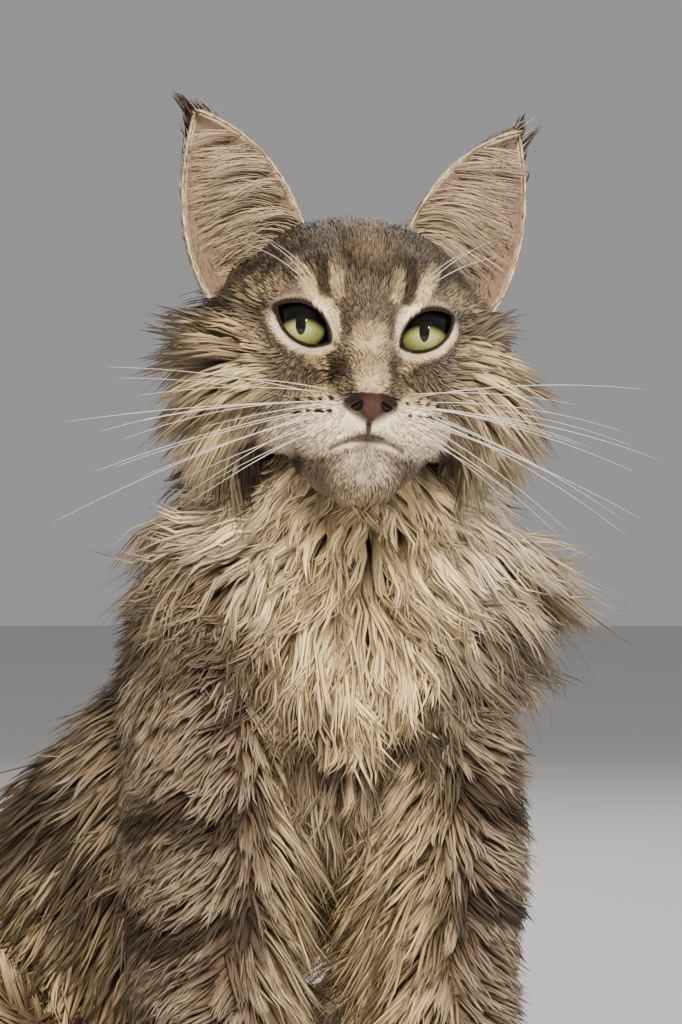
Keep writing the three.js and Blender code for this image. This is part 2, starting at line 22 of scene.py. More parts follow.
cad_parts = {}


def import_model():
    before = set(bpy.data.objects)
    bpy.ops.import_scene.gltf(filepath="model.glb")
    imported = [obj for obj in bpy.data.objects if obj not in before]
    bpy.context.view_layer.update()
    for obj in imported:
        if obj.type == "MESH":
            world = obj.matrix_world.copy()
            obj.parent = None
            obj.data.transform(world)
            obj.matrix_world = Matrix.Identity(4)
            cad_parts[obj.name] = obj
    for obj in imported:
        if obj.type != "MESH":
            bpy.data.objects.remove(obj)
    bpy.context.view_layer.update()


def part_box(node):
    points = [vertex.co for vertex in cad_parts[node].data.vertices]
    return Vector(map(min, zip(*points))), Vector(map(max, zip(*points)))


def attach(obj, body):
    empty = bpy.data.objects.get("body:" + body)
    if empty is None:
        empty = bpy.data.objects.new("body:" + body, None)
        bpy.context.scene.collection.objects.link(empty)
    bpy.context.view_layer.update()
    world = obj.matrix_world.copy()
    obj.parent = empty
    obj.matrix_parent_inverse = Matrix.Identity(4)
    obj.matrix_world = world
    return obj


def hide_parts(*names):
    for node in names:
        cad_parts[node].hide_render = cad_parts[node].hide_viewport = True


log = logging.getLogger("cat")

Array = np.ndarray
MM = 0.001
PIECE_LIMIT = 190000  # triangles in one piece of the coat
PATCH = 0.003  # how wide a tuft's patch is on the map
LOWEST = 0.9  # millimetres above the floor that the coat stays
ACROSS_COUNT, UP_COUNT = 36, 44  # faces across and up an ear
PICTURE_HEIGHT = 1024  # pixels
FAR = 99.0  # a distance in millimetres that stands for any longer one
SEARCH = 26.0  # millimetres within which the skin is looked for
WALL_GAP = 5.0  # millimetres out of the skin, where both walls of a groove have parted
ROUNDS, STRIDE = 60, 0.7  # how often, and by which share of the distance, a place is moved onto the head's skin
MARKS = ("cream", "white", "dark", "ear")


class Region(Enum):
    """The places that a lock of the coat can grow from."""

    HEAD = "head"
    RUFF = "ruff"
    FORELEG = "foreleg"
    TORSO = "torso"
    HAUNCH = "haunch"
    PAW = "paw"
    TAIL = "tail"


# Plain maths


def unit(vectors: Array) -> Array:
    """Vectors scaled to a length of one."""
    return vectors / np.maximum(np.linalg.norm(vectors, axis=-1, keepdims=True), 1e-9)


def smooth(low: float, high: float, value: Array) -> Array:
    """A soft step from 0 at low to 1 at high."""
    share = np.clip((value - low) / (high - low), 0.0, 1.0)
    return share * share * (3 - 2 * share)


def mixed(a: Array, b: Array, share: Array) -> Array:
    """The values a turned into b by a share."""
    return a + (b - a) * share


def dots(a: Array, b: Array) -> Array:
    """The dot product of each pair of vectors, as a column."""
    return np.sum(a * b, axis=-1, keepdims=True)


def columns(*parts: object) -> Array:
    """Numbers side by side as columns, with single numbers repeated down the rows."""
    return np.stack(np.broadcast_arrays(*parts), axis=-1).astype(float)


def folded(p: Array) -> Array:
    """Places in the head's frame with the right side folded onto the left."""
    return columns(np.abs(p[:, 0]), p[:, 1], p[:, 2])


def hashed(cells: Array, salt: int) -> Array:
    """A repeatable number from 0 to 1 for each whole-number cell.

    Args:
        cells: whole numbers x, y and z for each.
        salt: gives another series.

    Returns:
        One number for each cell.
    """
    x, y, z = (cells[..., i].astype(np.int64) for i in range(3))
    n = (x * 73856093) ^ (y * 19349663) ^ (z * 83492791) ^ (salt * 2654435)
    n = (n ^ (n >> 13)) * 1274126177
    return ((n ^ (n >> 16)) & 0xFFFF) / 65535.0


def noise(points: Array, size: float, salt: int = 0) -> Array:
    """Smooth noise from 0 to 1 over places, with lumps of about the given size.

    Args:
        points: the places.
        size: how wide the lumps are.
        salt: gives another series.

    Returns:
        One number for each place.
    """
    scaled = points / size
    cell = np.floor(scaled)
    share = scaled - cell
    share = share * share * (3 - 2 * share)
    total = np.zeros(len(points))
    for corner in range(8):
        offset = np.array([corner & 1, (corner >> 1) & 1, (corner >> 2) & 1])
        weight = np.prod(np.where(offset, share, 1 - share), axis=1)
        total += weight * hashed(cell + offset, salt)
    return total


def spline_at(points: Array, shares: Array) -> Array:
    """Places on a smooth curve through points.

    Args:
        points: the places that the curve passes through.
        shares: how far along, from 0 to 1, with each stretch between two places counted alike.

    Returns:
        One place for each share.
    """
    place = np.clip(shares, 0, 1) * (len(points) - 1)
    start = np.minimum(place.astype(int), len(points) - 2)
    w = (place - start)[:, None]
    ends = np.vstack([2 * points[0] - points[1], points, 2 * points[-1] - points[-2]])
    p0, p1, p2, p3 = (ends[start + k] for k in range(4))
    d0, d1, d2 = (
        np.maximum(np.sum((b - a) ** 2, axis=1), 1e-12)[:, None] ** 0.25 for a, b in ((p0, p1), (p1, p2), (p2, p3))
    )
    t1 = ((p1 - p0) / d0 - (p2 - p0) / (d0 + d1) + (p2 - p1) / d1) * d1
    t2 = ((p2 - p1) / d1 - (p3 - p1) / (d1 + d2) + (p3 - p2) / d2) * d1
    return p1 + t1 * w + (-3 * p1 + 3 * p2 - 2 * t1 - t2) * w**2 + (2 * p1 - 2 * p2 + t1 + t2) * w**3


def to_linear(code: str) -> tuple[float, float, float, float]:
    """A colour written as #rrggbb, as the renderer's own numbers."""
    parts = [int(code[i : i + 2], 16) / 255 for i in (1, 3, 5)]
    return tuple((c / 12.92 if c <= 0.04045 else ((c + 0.055) / 1.055) ** 2.4) for c in parts) + (1.0,)


# The body's forms, with the same sizes as the solids


@dataclass
class Limb:
    """A round form stretched along a curve.

    Attributes:
        stations: rows of centre x, y, z, half width, half depth and coat depth.
        region: the kind of coat on it.
        side: the direction that half widths are measured along.
        caps: the shares of its length over which its ends are rounded.
        lie: 1 where the coat lies along the stations, -1 against them.
    """

    stations: Sequence[Sequence[float]]
    region: Region
    side: Sequence[float] = (1, 0, 0)
    caps: Sequence[float] = (0.12, 0.12)
    lie: int = 1
    samples: int = 70

    def __post_init__(self) -> None:
        """Works out the frames along the limb once."""
        self.rows = np.array(self.stations, float)
        self.shares = np.linspace(0, 1, self.samples)
        self.frames = self.frame(self.shares)

    def frame(self, shares: Array) -> dict[str, Array]:
        """The centre, run, wide and deep directions and sizes at shares of the length.

        Args:
            shares: shares of the limb's length, from 0 to 1.

        Returns:
            The parts by name, with a row for each share.
        """
        step = 1e-4
        centre = spline_at(self.rows[:, :3], shares)
        run = unit(spline_at(self.rows[:, :3], shares + step) - spline_at(self.rows[:, :3], shares - step))
        side = np.array(self.side, float)[None, :]
        wide = unit(side - run * dots(side, run))
        deep = unit(np.cross(run, wide))
        return {"centre": centre, "run": run, "wide": wide, "deep": deep, "sizes": spline_at(self.rows[:, 3:], shares)}

    def surface(self, shares: Array, angles: Array, grow: float = 0.0) -> Array:
        """Places on the bare limb, at shares of its length and angles round it.

        Args:
            shares: shares of the limb's length, from 0 to 1.
            angles: angles round the limb.
            grow: how far out of the skin, in millimetres.

        Returns:
            One place for each share and angle.
        """
        f = self.frame(shares)
        cap = np.where(shares < 0.5, self.caps[0], self.caps[1])
        to_end = np.minimum(shares, 1 - shares)
        closing = np.clip(1 - to_end / np.maximum(cap, 1e-6), 0, 1)
        swell = np.sqrt(np.maximum(0, 1 - closing**2))[:, None]
        width = (f["sizes"][:, :1] + grow) * swell
        depth = (f["sizes"][:, 1:2] + grow) * swell
        return f["centre"] + f["wide"] * np.cos(angles)[:, None] * width + f["deep"] * np.sin(angles)[:, None] * depth

    def near(self, points: Array) -> dict[str, Array]:
        """How each of some places stands to the limb.

        Args:
            points: places in the cat's millimetres.

        Returns:
            Each one's share of the length, its distance outside the bare limb, the run and coat depth there, and
            its angle round the limb in degrees.
        """
        f = self.frames
        squares = np.sum(f["centre"] ** 2, axis=1)[None, :] - 2 * points @ f["centre"].T
        best = np.argmin(squares, axis=1)
        rel = points - f["centre"][best]
        sizes = f["sizes"][best]
        across = dots(rel, f["wide"][best])[:, 0]
        through = dots(rel, f["deep"][best])[:, 0]
        past = dots(rel, f["run"][best])[:, 0]
        least = np.minimum(sizes[:, 0], sizes[:, 1])
        near = np.sqrt((across / sizes[:, 0]) ** 2 + (through / sizes[:, 1]) ** 2 + (past / least) ** 2)
        return {
            "share": self.shares[best],
            "apart": (near - 1) * least,
            "run": f["run"][best] * self.lie,
            "coat": sizes[:, 2],
            "angle": np.degrees(np.arctan2(through, across)) % 360,
        }


@dataclass
class Build:
    """The sizes of the trunk, legs and tail."""

    chest_middle: float = -2
    hip_centre: tuple[float, float] = (-60, 150)
    hip_turn: float = 16
    sole: float = 3
    limbs: dict[str, Limb] = field(default_factory=dict)

    def __post_init__(self) -> None:
        """Names every limb."""
        self.limbs["torso"] = Limb(
            [
                [-66, 188, 56, 44, 42, 28],
                [-62, 170, 94, 57, 54, 30],
                [-50, 132, 136, 58, 57, 30],
                [-32, 88, 178, 56, 56, 28],
                [-14, 38, 220, 53, 56, 26],
                [0, -12, 260, 47, 51, 26],
                [0, -44, 296, 38, 40, 24],
            ],
            Region.TORSO,
            lie=-1,
        )
        self.limbs["neck"] = Limb(
            [
                [6, -36, 268, 44, 44, 34],
                [6, -46, 310, 47, 44, 42],
                [1, -62, 350, 41, 42, 36],
                [-8, -86, 390, 29, 32, 20],
            ],
            Region.RUFF,
            caps=(0.12, 0.2),
            lie=-1,
        )
        for name, side in (("left", 1), ("right", -1)):
            self.limbs[f"foreleg_{name}"] = self.foreleg(side)
            self.limbs[f"haunch_{name}"] = self.haunch(side)
            self.limbs[f"forepaw_{name}"] = self.forepaw(side)
            self.limbs[f"hindpaw_{name}"] = self.hindpaw(side)
        self.limbs["tail"] = Limb(
            [
                [-72, 200, 66, 16, 16, 30],
                [-110, 238, 46, 12, 11, 44],
                [-178, 232, 38, 11, 10, 52],
                [-218, 172, 36, 10, 9, 54],
                [-222, 96, 35, 9, 8, 52],
                [-202, 24, 34, 8, 7, 46],
                [-166, -30, 28, 5, 5, 30],
            ],
            Region.TAIL,
            side=(0, 0, 1),
            caps=(0.06, 0.1),
        )

    def from_hips(self, rows: Sequence[Sequence[float]]) -> list[list[float]]:
        """Stations given from the hips, which are turned about the vertical, in the cat's own frame.

        Args:
            rows: stations, each x, y and whatever follows them.

        Returns:
            The same stations in the cat's frame.
        """
        turn = math.radians(self.hip_turn)
        c, s = math.cos(turn), math.sin(turn)
        x0, y0 = self.hip_centre
        return [[x0 + x * c - y * s, y0 + x * s + y * c, *rest] for x, y, *rest in rows]

    @property
    def hip_side(self) -> tuple[float, float, float]:
        """The direction across the hips."""
        turn = math.radians(self.hip_turn)
        return (math.cos(turn), math.sin(turn), 0)

    def foreleg(self, side: int) -> Limb:
        """A foreleg from the shoulder to the wrist.

        Args:
            side: 1 for the left and -1 for the right.

        Returns:
            The limb.
        """
        x = self.chest_middle
        return Limb(
            [
                [x + 34 * side, -16, 316, 18, 26, 22],
                [x + 46 * side, -40, 272, 22, 36, 20],
                [x + 50 * side, -52, 222, 22, 35, 20],
                [x + 50 * side, -54, 170, 20, 29, 19],
                [x + 48 * side, -64, 116, 17, 21, 16],
                [x + 46 * side, -78, 62, 15, 17, 11],
                [x + 45 * side, -88, 22, 15.5, 17, 8],
            ],
            Region.FORELEG,
            caps=(0.1, 0.04),
        )

    def haunch(self, side: int) -> Limb:
        """A folded thigh.

        Args:
            side: 1 for the left and -1 for the right.

        Returns:
            The limb.
        """
        rows = [
            [42 * side, 42, 76, 24, 46, 30],
            [56 * side, 4, 90, 31, 62, 28],
            [64 * side, -40, 92, 32, 64, 26],
            [66 * side, -80, 84, 28, 55, 24],
            [63 * side, -112, 70, 21, 38, 20],
        ]
        return Limb(self.from_hips(rows), Region.HAUNCH, side=self.hip_side, caps=(0.2, 0.2))

    def forepaw(self, side: int) -> Limb:
        """A front foot.

        Args:
            side: 1 for the left and -1 for the right.

        Returns:
            The limb.
        """
        x = self.chest_middle + 45 * side
        rows = [
            [x, -84, 24, 16, 17, 7],
            [x, -102, 18, 19, 17, 6],
            [x, -120, 14.5 - self.sole, 20, 13, 5],
            [x, -136, 12.5 - self.sole, 16, 10, 4],
        ]
        return Limb(rows, Region.PAW, caps=(0.2, 0.25))

    def hindpaw(self, side: int) -> Limb:
        """A hind foot with its hock.

        Args:
            side: 1 for the left and -1 for the right.

        Returns:
            The limb.
        """
        rows = [
            [54 * side, 6, 24, 13, 17, 8],
            [56 * side, -40, 17, 13, 15, 7],
            [57 * side, -92, 15 - self.sole, 16, 13, 6],
            [58 * side, -124, 14 - self.sole, 18.5, 13, 4],
            [58 * side, -144, 12.5 - self.sole, 14, 10, 3],
        ]
        return Limb(self.from_hips(rows), Region.PAW, side=self.hip_side, caps=(0.12, 0.14))

    def toes(self) -> list[tuple[Array, Array, Array, float]]:
        """Each toe's middle, the way across its foot, its heading and its foot's half width.

        Returns:
            Four toes for each of the four feet.
        """
        turn = math.radians(self.hip_turn)
        ahead = np.array([math.sin(turn), -math.cos(turn), 0])
        places = []
        for side in (1, -1):
            fore = np.array([self.chest_middle + 45 * side, -134, 9.0])
            hind = np.array(self.from_hips([[58 * side, -140, 9]])[0])
            for middle, heading, half in ((fore, np.array([0, -1.0, 0]), 21.0), (hind, ahead, 20.0)):
                across = np.array([-heading[1], heading[0], 0])
                for place in (-1.5, -0.5, 0.5, 1.5):
                    at = middle + across * place * half * 0.52 - heading * place**2 * 2.6
                    places.append((at, across, heading, half))
        return places

    def between_toes(self, points: Array) -> Array:
        """How far places lie in the clefts between toes, from 0 to 1.

        Args:
            points: places in the cat's millimetres.

        Returns:
            One share for each place.
        """
        cleft = np.zeros(len(points))
        for at, across, heading, half in self.toes():
            rel = points - at
            near = (np.abs(rel @ across) < half * 0.34) & (rel @ heading > -9) & (rel[:, 2] > -12) & (rel[:, 2] < 30)
            edge = np.abs(np.abs(rel[near] @ across) - half * 0.26)
            cleft[near] = np.maximum(cleft[near], smooth(2.2, 0.6, edge) * smooth(-9, -2, rel[near] @ heading))
        return cleft


@dataclass
class HeadForm:
    """The head's skin as one smooth surface over rounded masses, and its pose."""

    centre: tuple[float, float, float] = (-12, -105, 402)
    turn: float = -16
    nod: float = 3
    tilt: float = 3
    eye_radius: float = 11
    eye_place: tuple[float, float, float] = (22, -33, 1)
    lid: float = 1.8
    middle: tuple[float, float, float] = (0, -12, -14)
    reach: float = 110
    masses: Sequence[tuple] = (
        ((0, 6, 8), (44, 48, 38), 0),
        ((27, -6, -18), (24, 28, 24), 14),
        ((16, -28, 13), (15, 14, 11), 12),
        ((0, -36, -4), (13, 24, 18), 12),
        ((0, -57, -23), (10.5, 17, 12), 8),
        ((13.5, -56, -35), (16, 16, 11.5), 6),
        ((0, -34, -40), (25, 30, 18), 10),
        ((0, -55, -52), (13, 13, 9.5), 5),
    )

    def __post_init__(self) -> None:
        """Works out the head's pose."""
        x, y, z = math.radians(-self.nod), math.radians(self.tilt), math.radians(self.turn)
        pose = Matrix.Rotation(z, 3, "Z") @ Matrix.Rotation(x, 3, "X") @ Matrix.Rotation(y, 3, "Y")
        self.rotation = np.array(pose)

    def place(self, points: Array) -> Array:
        """Places in the head's own frame, in the cat's."""
        return np.asarray(points, float) @ self.rotation.T + np.array(self.centre)

    def direction(self, directions: Array) -> Array:
        """Directions in the head's own frame, in the cat's."""
        return np.asarray(directions, float) @ self.rotation.T

    def local(self, points: Array) -> Array:
        """Places in the cat's frame, in the head's own."""
        return (points - np.array(self.centre)) @ self.rotation

    @staticmethod
    def from_mass(points: Array, at: Sequence[float], size: Sequence[float]) -> Array:
        """Distances from a rounded mass, less than zero inside.

        Args:
            points: places in the head's frame.
            at: the mass's middle.
            size: its half sizes.

        Returns:
            One distance for each place.
        """
        size = np.array(size, float)
        rel = points - np.array(at, float)
        near = np.linalg.norm(rel / size, axis=1)
        return near * (near - 1) / np.maximum(np.linalg.norm(rel / size**2, axis=1), 1e-9)

    @staticmethod
    def blended(a: Array, b: Array, blend: float) -> Array:
        """The lesser of two distances, rounded over where they are nearly alike.

        Args:
            a: the first distances.
            b: the others.
            blend: how far apart they may be and still blend.

        Returns:
            The blended distances.
        """
        if blend <= 0:
            return np.minimum(a, b)
        share = np.maximum(blend - np.abs(a - b), 0) / blend
        return np.minimum(a, b) - share * share * blend / 4

    def apart(self, points: Array) -> Array:
        """Distances from the head's skin, in its own frame.

        Args:
            points: places in that frame.

        Returns:
            One distance for each place.
        """
        distance = np.full(len(points), float(self.reach))
        for at, size, blend in self.masses:
            for side in (1, -1) if at[0] else (1,):
                mass = self.from_mass(points, (at[0] * side, at[1], at[2]), size)
                distance = self.blended(distance, mass, blend)
        for side in (1, -1):
            eye = np.array(self.eye_place) * (side, 1, 1)
            lid = np.linalg.norm(points - eye, axis=1) - self.eye_radius - self.lid
            distance = self.blended(distance, lid, 5)
        return distance

    def on_skin(self, directions: Array, grow: float = 0.0) -> Array:
        """Places of the head's skin in directions from its middle.

        Args:
            directions: one direction for each place, of any length.
            grow: how far out of the skin, in millimetres.

        Returns:
            The places in the head's frame.
        """
        aims = unit(directions)
        reach = np.full(len(aims), float(self.reach))
        for _ in range(ROUNDS):
            here = np.array(self.middle) + aims * reach[:, None]
            reach -= np.maximum(self.apart(here) - grow, 0) * STRIDE
        return np.array(self.middle) + aims * reach[:, None]

    def face_at(self, x: Array, z: Array) -> Array:
        """Places of the head's skin straight behind points of its front view.

        Args:
            x: how far right each point of the view is.
            z: how high it is.

        Returns:
            The places in the head's frame.
        """
        depth = np.full(len(x), -float(self.reach))
        for _ in range(ROUNDS):
            depth += np.maximum(self.apart(columns(x, depth, z)), 0) * STRIDE
        return columns(x, depth, z)


@dataclass
class EarForm:
    """A cupped shell between an inner and an outer edge, in the head's frame, front view."""

    inner: Sequence[Sequence[float]] = ((16, 32), (27, 74), (60, 84))
    outer: Sequence[Sequence[float]] = ((45, 4), (72, 34), (61, 84))
    cup: float = 17
    set_back: float = 4
    lean_back: float = 6
    thickness: float = 2.6

    @staticmethod
    def edge(points: Sequence[Sequence[float]], up: Array) -> Array:
        """Places on a bowed edge.

        Args:
            points: the edge's base, bow and tip.
            up: from 0 at the base to 1 at the tip.

        Returns:
            One place of the front view for each height.
        """
        a, b, c = (np.array(p, float)[None, :] for p in points)
        t = up[:, None]
        return a * (1 - t) ** 2 + b * 2 * t * (1 - t) + c * t * t

    def point(self, across: Array, up: Array, back: Array, side: int) -> Array:
        """Places in the shell.

        Args:
            across: from -1 at the inner edge to 1 at the outer one.
            up: from 0 at the base to 1 at the tip.
            back: 0 on the front and 1 on the back.
            side: 1 for the left ear and -1 for the right.

        Returns:
            Places in the head's own frame.
        """
        a, b = self.edge(self.inner, up), self.edge(self.outer, up)
        share = (across + 1) / 2
        flat = a + (b - a) * share[:, None]
        hollow = self.cup * (1 - up * 0.75) * (1 - across**2)
        depth = self.set_back + hollow + self.lean_back * up + share * 7 + back * self.thickness * (1 - 0.4 * up)
        return columns(flat[:, 0] * side, depth, flat[:, 1])

    def front(self, across: Array, up: Array, side: int) -> tuple[Array, Array]:
        """Places on the front of the shell, and which way it faces there.

        Args:
            across: from -1 at the inner edge to 1 at the outer one.
            up: from 0 at the base to 1 at the tip.
            side: 1 for the left and -1 for the right.

        Returns:
            The places and the directions, in the head's frame.
        """
        zero = np.zeros(len(up))
        here = self.point(across, up, zero, side)
        over = self.point(across + 0.02, up, zero, side) - here
        above = self.point(across, up + 0.02, zero, side) - here
        facing = unit(np.cross(above, over))
        return here, facing * -np.sign(facing[:, 1:2])

    def from_rim(self, places: Array) -> Array:
        """How far places, folded onto the left side, lie from the ear's rim.

        Args:
            places: places in the head's frame.

        Returns:
            One distance for each place, at most 99.
        """
        up = np.linspace(0.05, 1, 24)
        middle = np.full(24, 0.5)
        rim = np.vstack([self.point(np.full(24, edge), up, middle, 1) for edge in (-1.0, 1.0)])
        gap = np.full(len(places), FAR)
        high = np.flatnonzero(places[:, 2] > 4)
        if len(high):
            gap[high] = np.linalg.norm(places[high, None] - rim[None], axis=2).min(axis=1)
        return gap


# Making meshes


class Workshop:
    """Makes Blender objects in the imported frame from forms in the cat's millimetres."""

    def __init__(self, shift: Array) -> None:
        """Keeps the shift, in metres, from the cat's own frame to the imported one."""
        self.shift = shift

    def to_scene(self, points: Array) -> Array:
        """Places in the cat's millimetres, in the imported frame's metres."""
        return points * MM + self.shift

    def to_cat(self, points: Array) -> Array:
        """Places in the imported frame's metres, in the cat's millimetres."""
        return (points - self.shift) / MM

    @staticmethod
    def fetch(parts: bpy.types.bpy_prop_collection, key: str, width: int, kind: type = np.float32) -> Array:
        """Numbers kept on the parts of a mesh, in rows of a width.

        Args:
            parts: the mesh's vertices, faces, loops or map.
            key: the numbers' name.
            width: how many there are for each part.
            kind: their type.

        Returns:
            One row for each part.
        """
        flat = np.empty(len(parts) * width, kind)
        parts.foreach_get(key, flat)
        return flat.reshape(-1, width)

    def coordinates(self, obj: bpy.types.Object) -> Array:
        """The places of a mesh's vertices."""
        return self.fetch(obj.data.vertices, "co", 3).astype(float)

    @staticmethod
    def move(obj: bpy.types.Object, points: Array) -> None:
        """Sets the places of a mesh's vertices."""
        obj.data.vertices.foreach_set("co", points.astype(np.float32).ravel())
        obj.data.update()

    @staticmethod
    def shade_smooth(obj: bpy.types.Object) -> None:
        """Makes every face of a mesh shade as part of a smooth form."""
        obj.data.polygons.foreach_set("use_smooth", np.ones(len(obj.data.polygons), bool))

    @staticmethod
    def clear_maps(obj: bpy.types.Object) -> None:
        """Removes a mesh's maps."""
        for layer in list(obj.data.uv_layers):
            obj.data.uv_layers.remove(layer)

    @staticmethod
    def linked(name: str, data: bpy.types.ID) -> bpy.types.Object:
        """A new object in the scene.

        Args:
            name: the object's name.
            data: its mesh, curve, lamp or lens.

        Returns:
            The object.
        """
        obj = bpy.data.objects.new(name, data)
        bpy.context.scene.collection.objects.link(obj)
        return obj

    @staticmethod
    @contextmanager
    def editing(obj: bpy.types.Object) -> Iterator[None]:
        """Edit mode with the whole of a mesh selected.

        Args:
            obj: the mesh's object.

        Returns:
            Nothing, while the mesh is being edited.
        """
        bpy.context.view_layer.objects.active = obj
        bpy.ops.object.mode_set(mode="EDIT")
        bpy.ops.mesh.select_all(action="SELECT")
        yield
        bpy.ops.object.mode_set(mode="OBJECT")

    @staticmethod
    def clear_selection() -> None:
        """Deselects everything."""
        bpy.ops.object.select_all(action="DESELECT")

    def ball(self, name: str, around: int, along: int, place: Callable[[Array], Array]) -> bpy.types.Object:
        """A round ball whose vertices are moved.

        Args:
            name: the object's name.
            around: how many sides it has.
            along: how many rings it has from pole to pole.
            place: gives places in the cat's millimetres for places on a ball of radius 1.

        Returns:
            The closed mesh.
        """
        self.clear_selection()
        bpy.ops.mesh.primitive_uv_sphere_add(segments=around, ring_count=along, radius=1)
        obj = bpy.context.object
        obj.name = obj.data.name = name
        self.move(obj, self.to_scene(place(self.coordinates(obj))))
        self.face_outwards(obj)
        return obj

    def face_outwards(self, obj: bpy.types.Object) -> None:
        """Merges a closed mesh's doubled vertices and turns its faces outwards.

        Args:
            obj: the mesh's object.
        """
        with self.editing(obj):
            bpy.ops.mesh.remove_doubles(threshold=1e-6)
            bpy.ops.mesh.normals_make_consistent(inside=False)

    def stretched(self, name: str, limb: Limb, around: int, along: int) -> bpy.types.Object:
        """A ball stretched along a limb.

        Args:
            name: the object's name.
            limb: the limb.
            around: how many sides it has.
            along: how many rings it has.

        Returns:
            The closed mesh.
        """

        def place(points: Array) -> Array:
            """The place on the limb of each place of the ball."""
            shares = np.arccos(np.clip(points[:, 2], -1, 1)) / np.pi
            return limb.surface(shares, np.arctan2(points[:, 1], points[:, 0]))

        return self.ball(name, around, along, place)

    def join(self, name: str, pieces: Sequence[bpy.types.Object]) -> bpy.types.Object:
        """Joins objects into the first one.

        Args:
            name: the name of the joined object.
            pieces: the objects.

        Returns:
            The joined object.
        """
        self.clear_selection()
        for piece in pieces:
            piece.select_set(True)
        bpy.context.view_layer.objects.active = pieces[0]
        bpy.ops.object.join()
        pieces[0].name = pieces[0].data.name = name
        return pieces[0]

    @staticmethod
    def modify(obj: bpy.types.Object, kind: str, **settings: object) -> None:
        """Adds a modifier and applies it.

        Args:
            obj: the mesh's object.
            kind: the modifier's type.
            **settings: its settings, by name.
        """
        bpy.context.view_layer.objects.active = obj
        modifier = obj.modifiers.new(kind.title(), kind)
        for key, value in settings.items():
            setattr(modifier, key, value)
        bpy.ops.object.modifier_apply(modifier=modifier.name)

    def combine(self, obj: bpy.types.Object, other: bpy.types.Object, operation: str) -> None:
        """Adds another closed mesh to one, or cuts it out, and removes the other."""
        self.modify(obj, "BOOLEAN", operation=operation, object=other, solver="MANIFOLD")
        bpy.data.objects.remove(other)

    def from_arrays(
        self,
        name: str,
        points: Array,
        triangles: Array,
        quads: Array,
        corners: Optional[Array] = None,
        values: Optional[dict[str, Array]] = None,
    ) -> bpy.types.Object:
        """A smooth mesh from arrays.

        Args:
            name: the object's name.
            points: vertices in the cat's millimetres.
            triangles: rows of three vertices.
            quads: rows of four vertices.
            corners: a place on the OFBake map for each face corner, triangles first.
            values: numbers kept on the vertices, by name.

        Returns:
            The object, linked to the scene.
        """
        mesh = bpy.data.meshes.new(name)
        loops = np.concatenate([triangles.ravel(), quads.ravel()]).astype(np.int32)
        starts = np.concatenate(
            [np.arange(len(triangles)) * 3, len(triangles) * 3 + np.arange(len(quads)) * 4]
        ).astype(np.int32)
        mesh.vertices.add(len(points))
        mesh.vertices.foreach_set("co", self.to_scene(points).astype(np.float32).ravel())
        mesh.loops.add(len(loops))
        mesh.loops.foreach_set("vertex_index", loops)
        mesh.polygons.add(len(starts))
        mesh.polygons.foreach_set("loop_start", starts)
        mesh.polygons.foreach_set("use_smooth", np.ones(len(starts), bool))
        if corners is not None:
            mesh.uv_layers.new(name="OFBake").data.foreach_set("uv", corners.astype(np.float32).ravel())
        mesh.update(calc_edges=True)
        for key, numbers in (values or {}).items():
            self.keep(mesh, key, numbers)
        return self.linked(name, mesh)

    def put_in_order(self, mesh: bpy.types.Mesh) -> None:
        """Sorts a mesh's triangles, so that the coat takes root at the same places in every run.

        Args:
            mesh: the mesh.
        """
        corners = self.fetch(mesh.polygons, "vertices", 3, np.int32)
        turned = (corners.argmin(axis=1)[:, None] + np.arange(3)) % 3
        corners = np.take_along_axis(corners, turned, axis=1)
        corners = corners[np.lexsort(corners.T[::-1])]
        mesh.loops.foreach_set("vertex_index", corners.ravel())
        mesh.update(calc_edges=True)

    @staticmethod
    def keep(mesh: bpy.types.Mesh, key: str, numbers: Array) -> None:
        """Keeps a number, or a direction, on each vertex of a mesh.

        Args:
            mesh: the mesh.
            key: the attribute's name.
            numbers: one number or direction for each vertex.
        """
        if numbers.ndim == 2:
            layer = mesh.attributes.new(key, "FLOAT_VECTOR", "POINT").data
            layer.foreach_set("vector", numbers.astype(np.float32).ravel())
        else:
            mesh.attributes.new(key, "FLOAT", "POINT").data.foreach_set("value", numbers.astype(np.float32))


# Markings


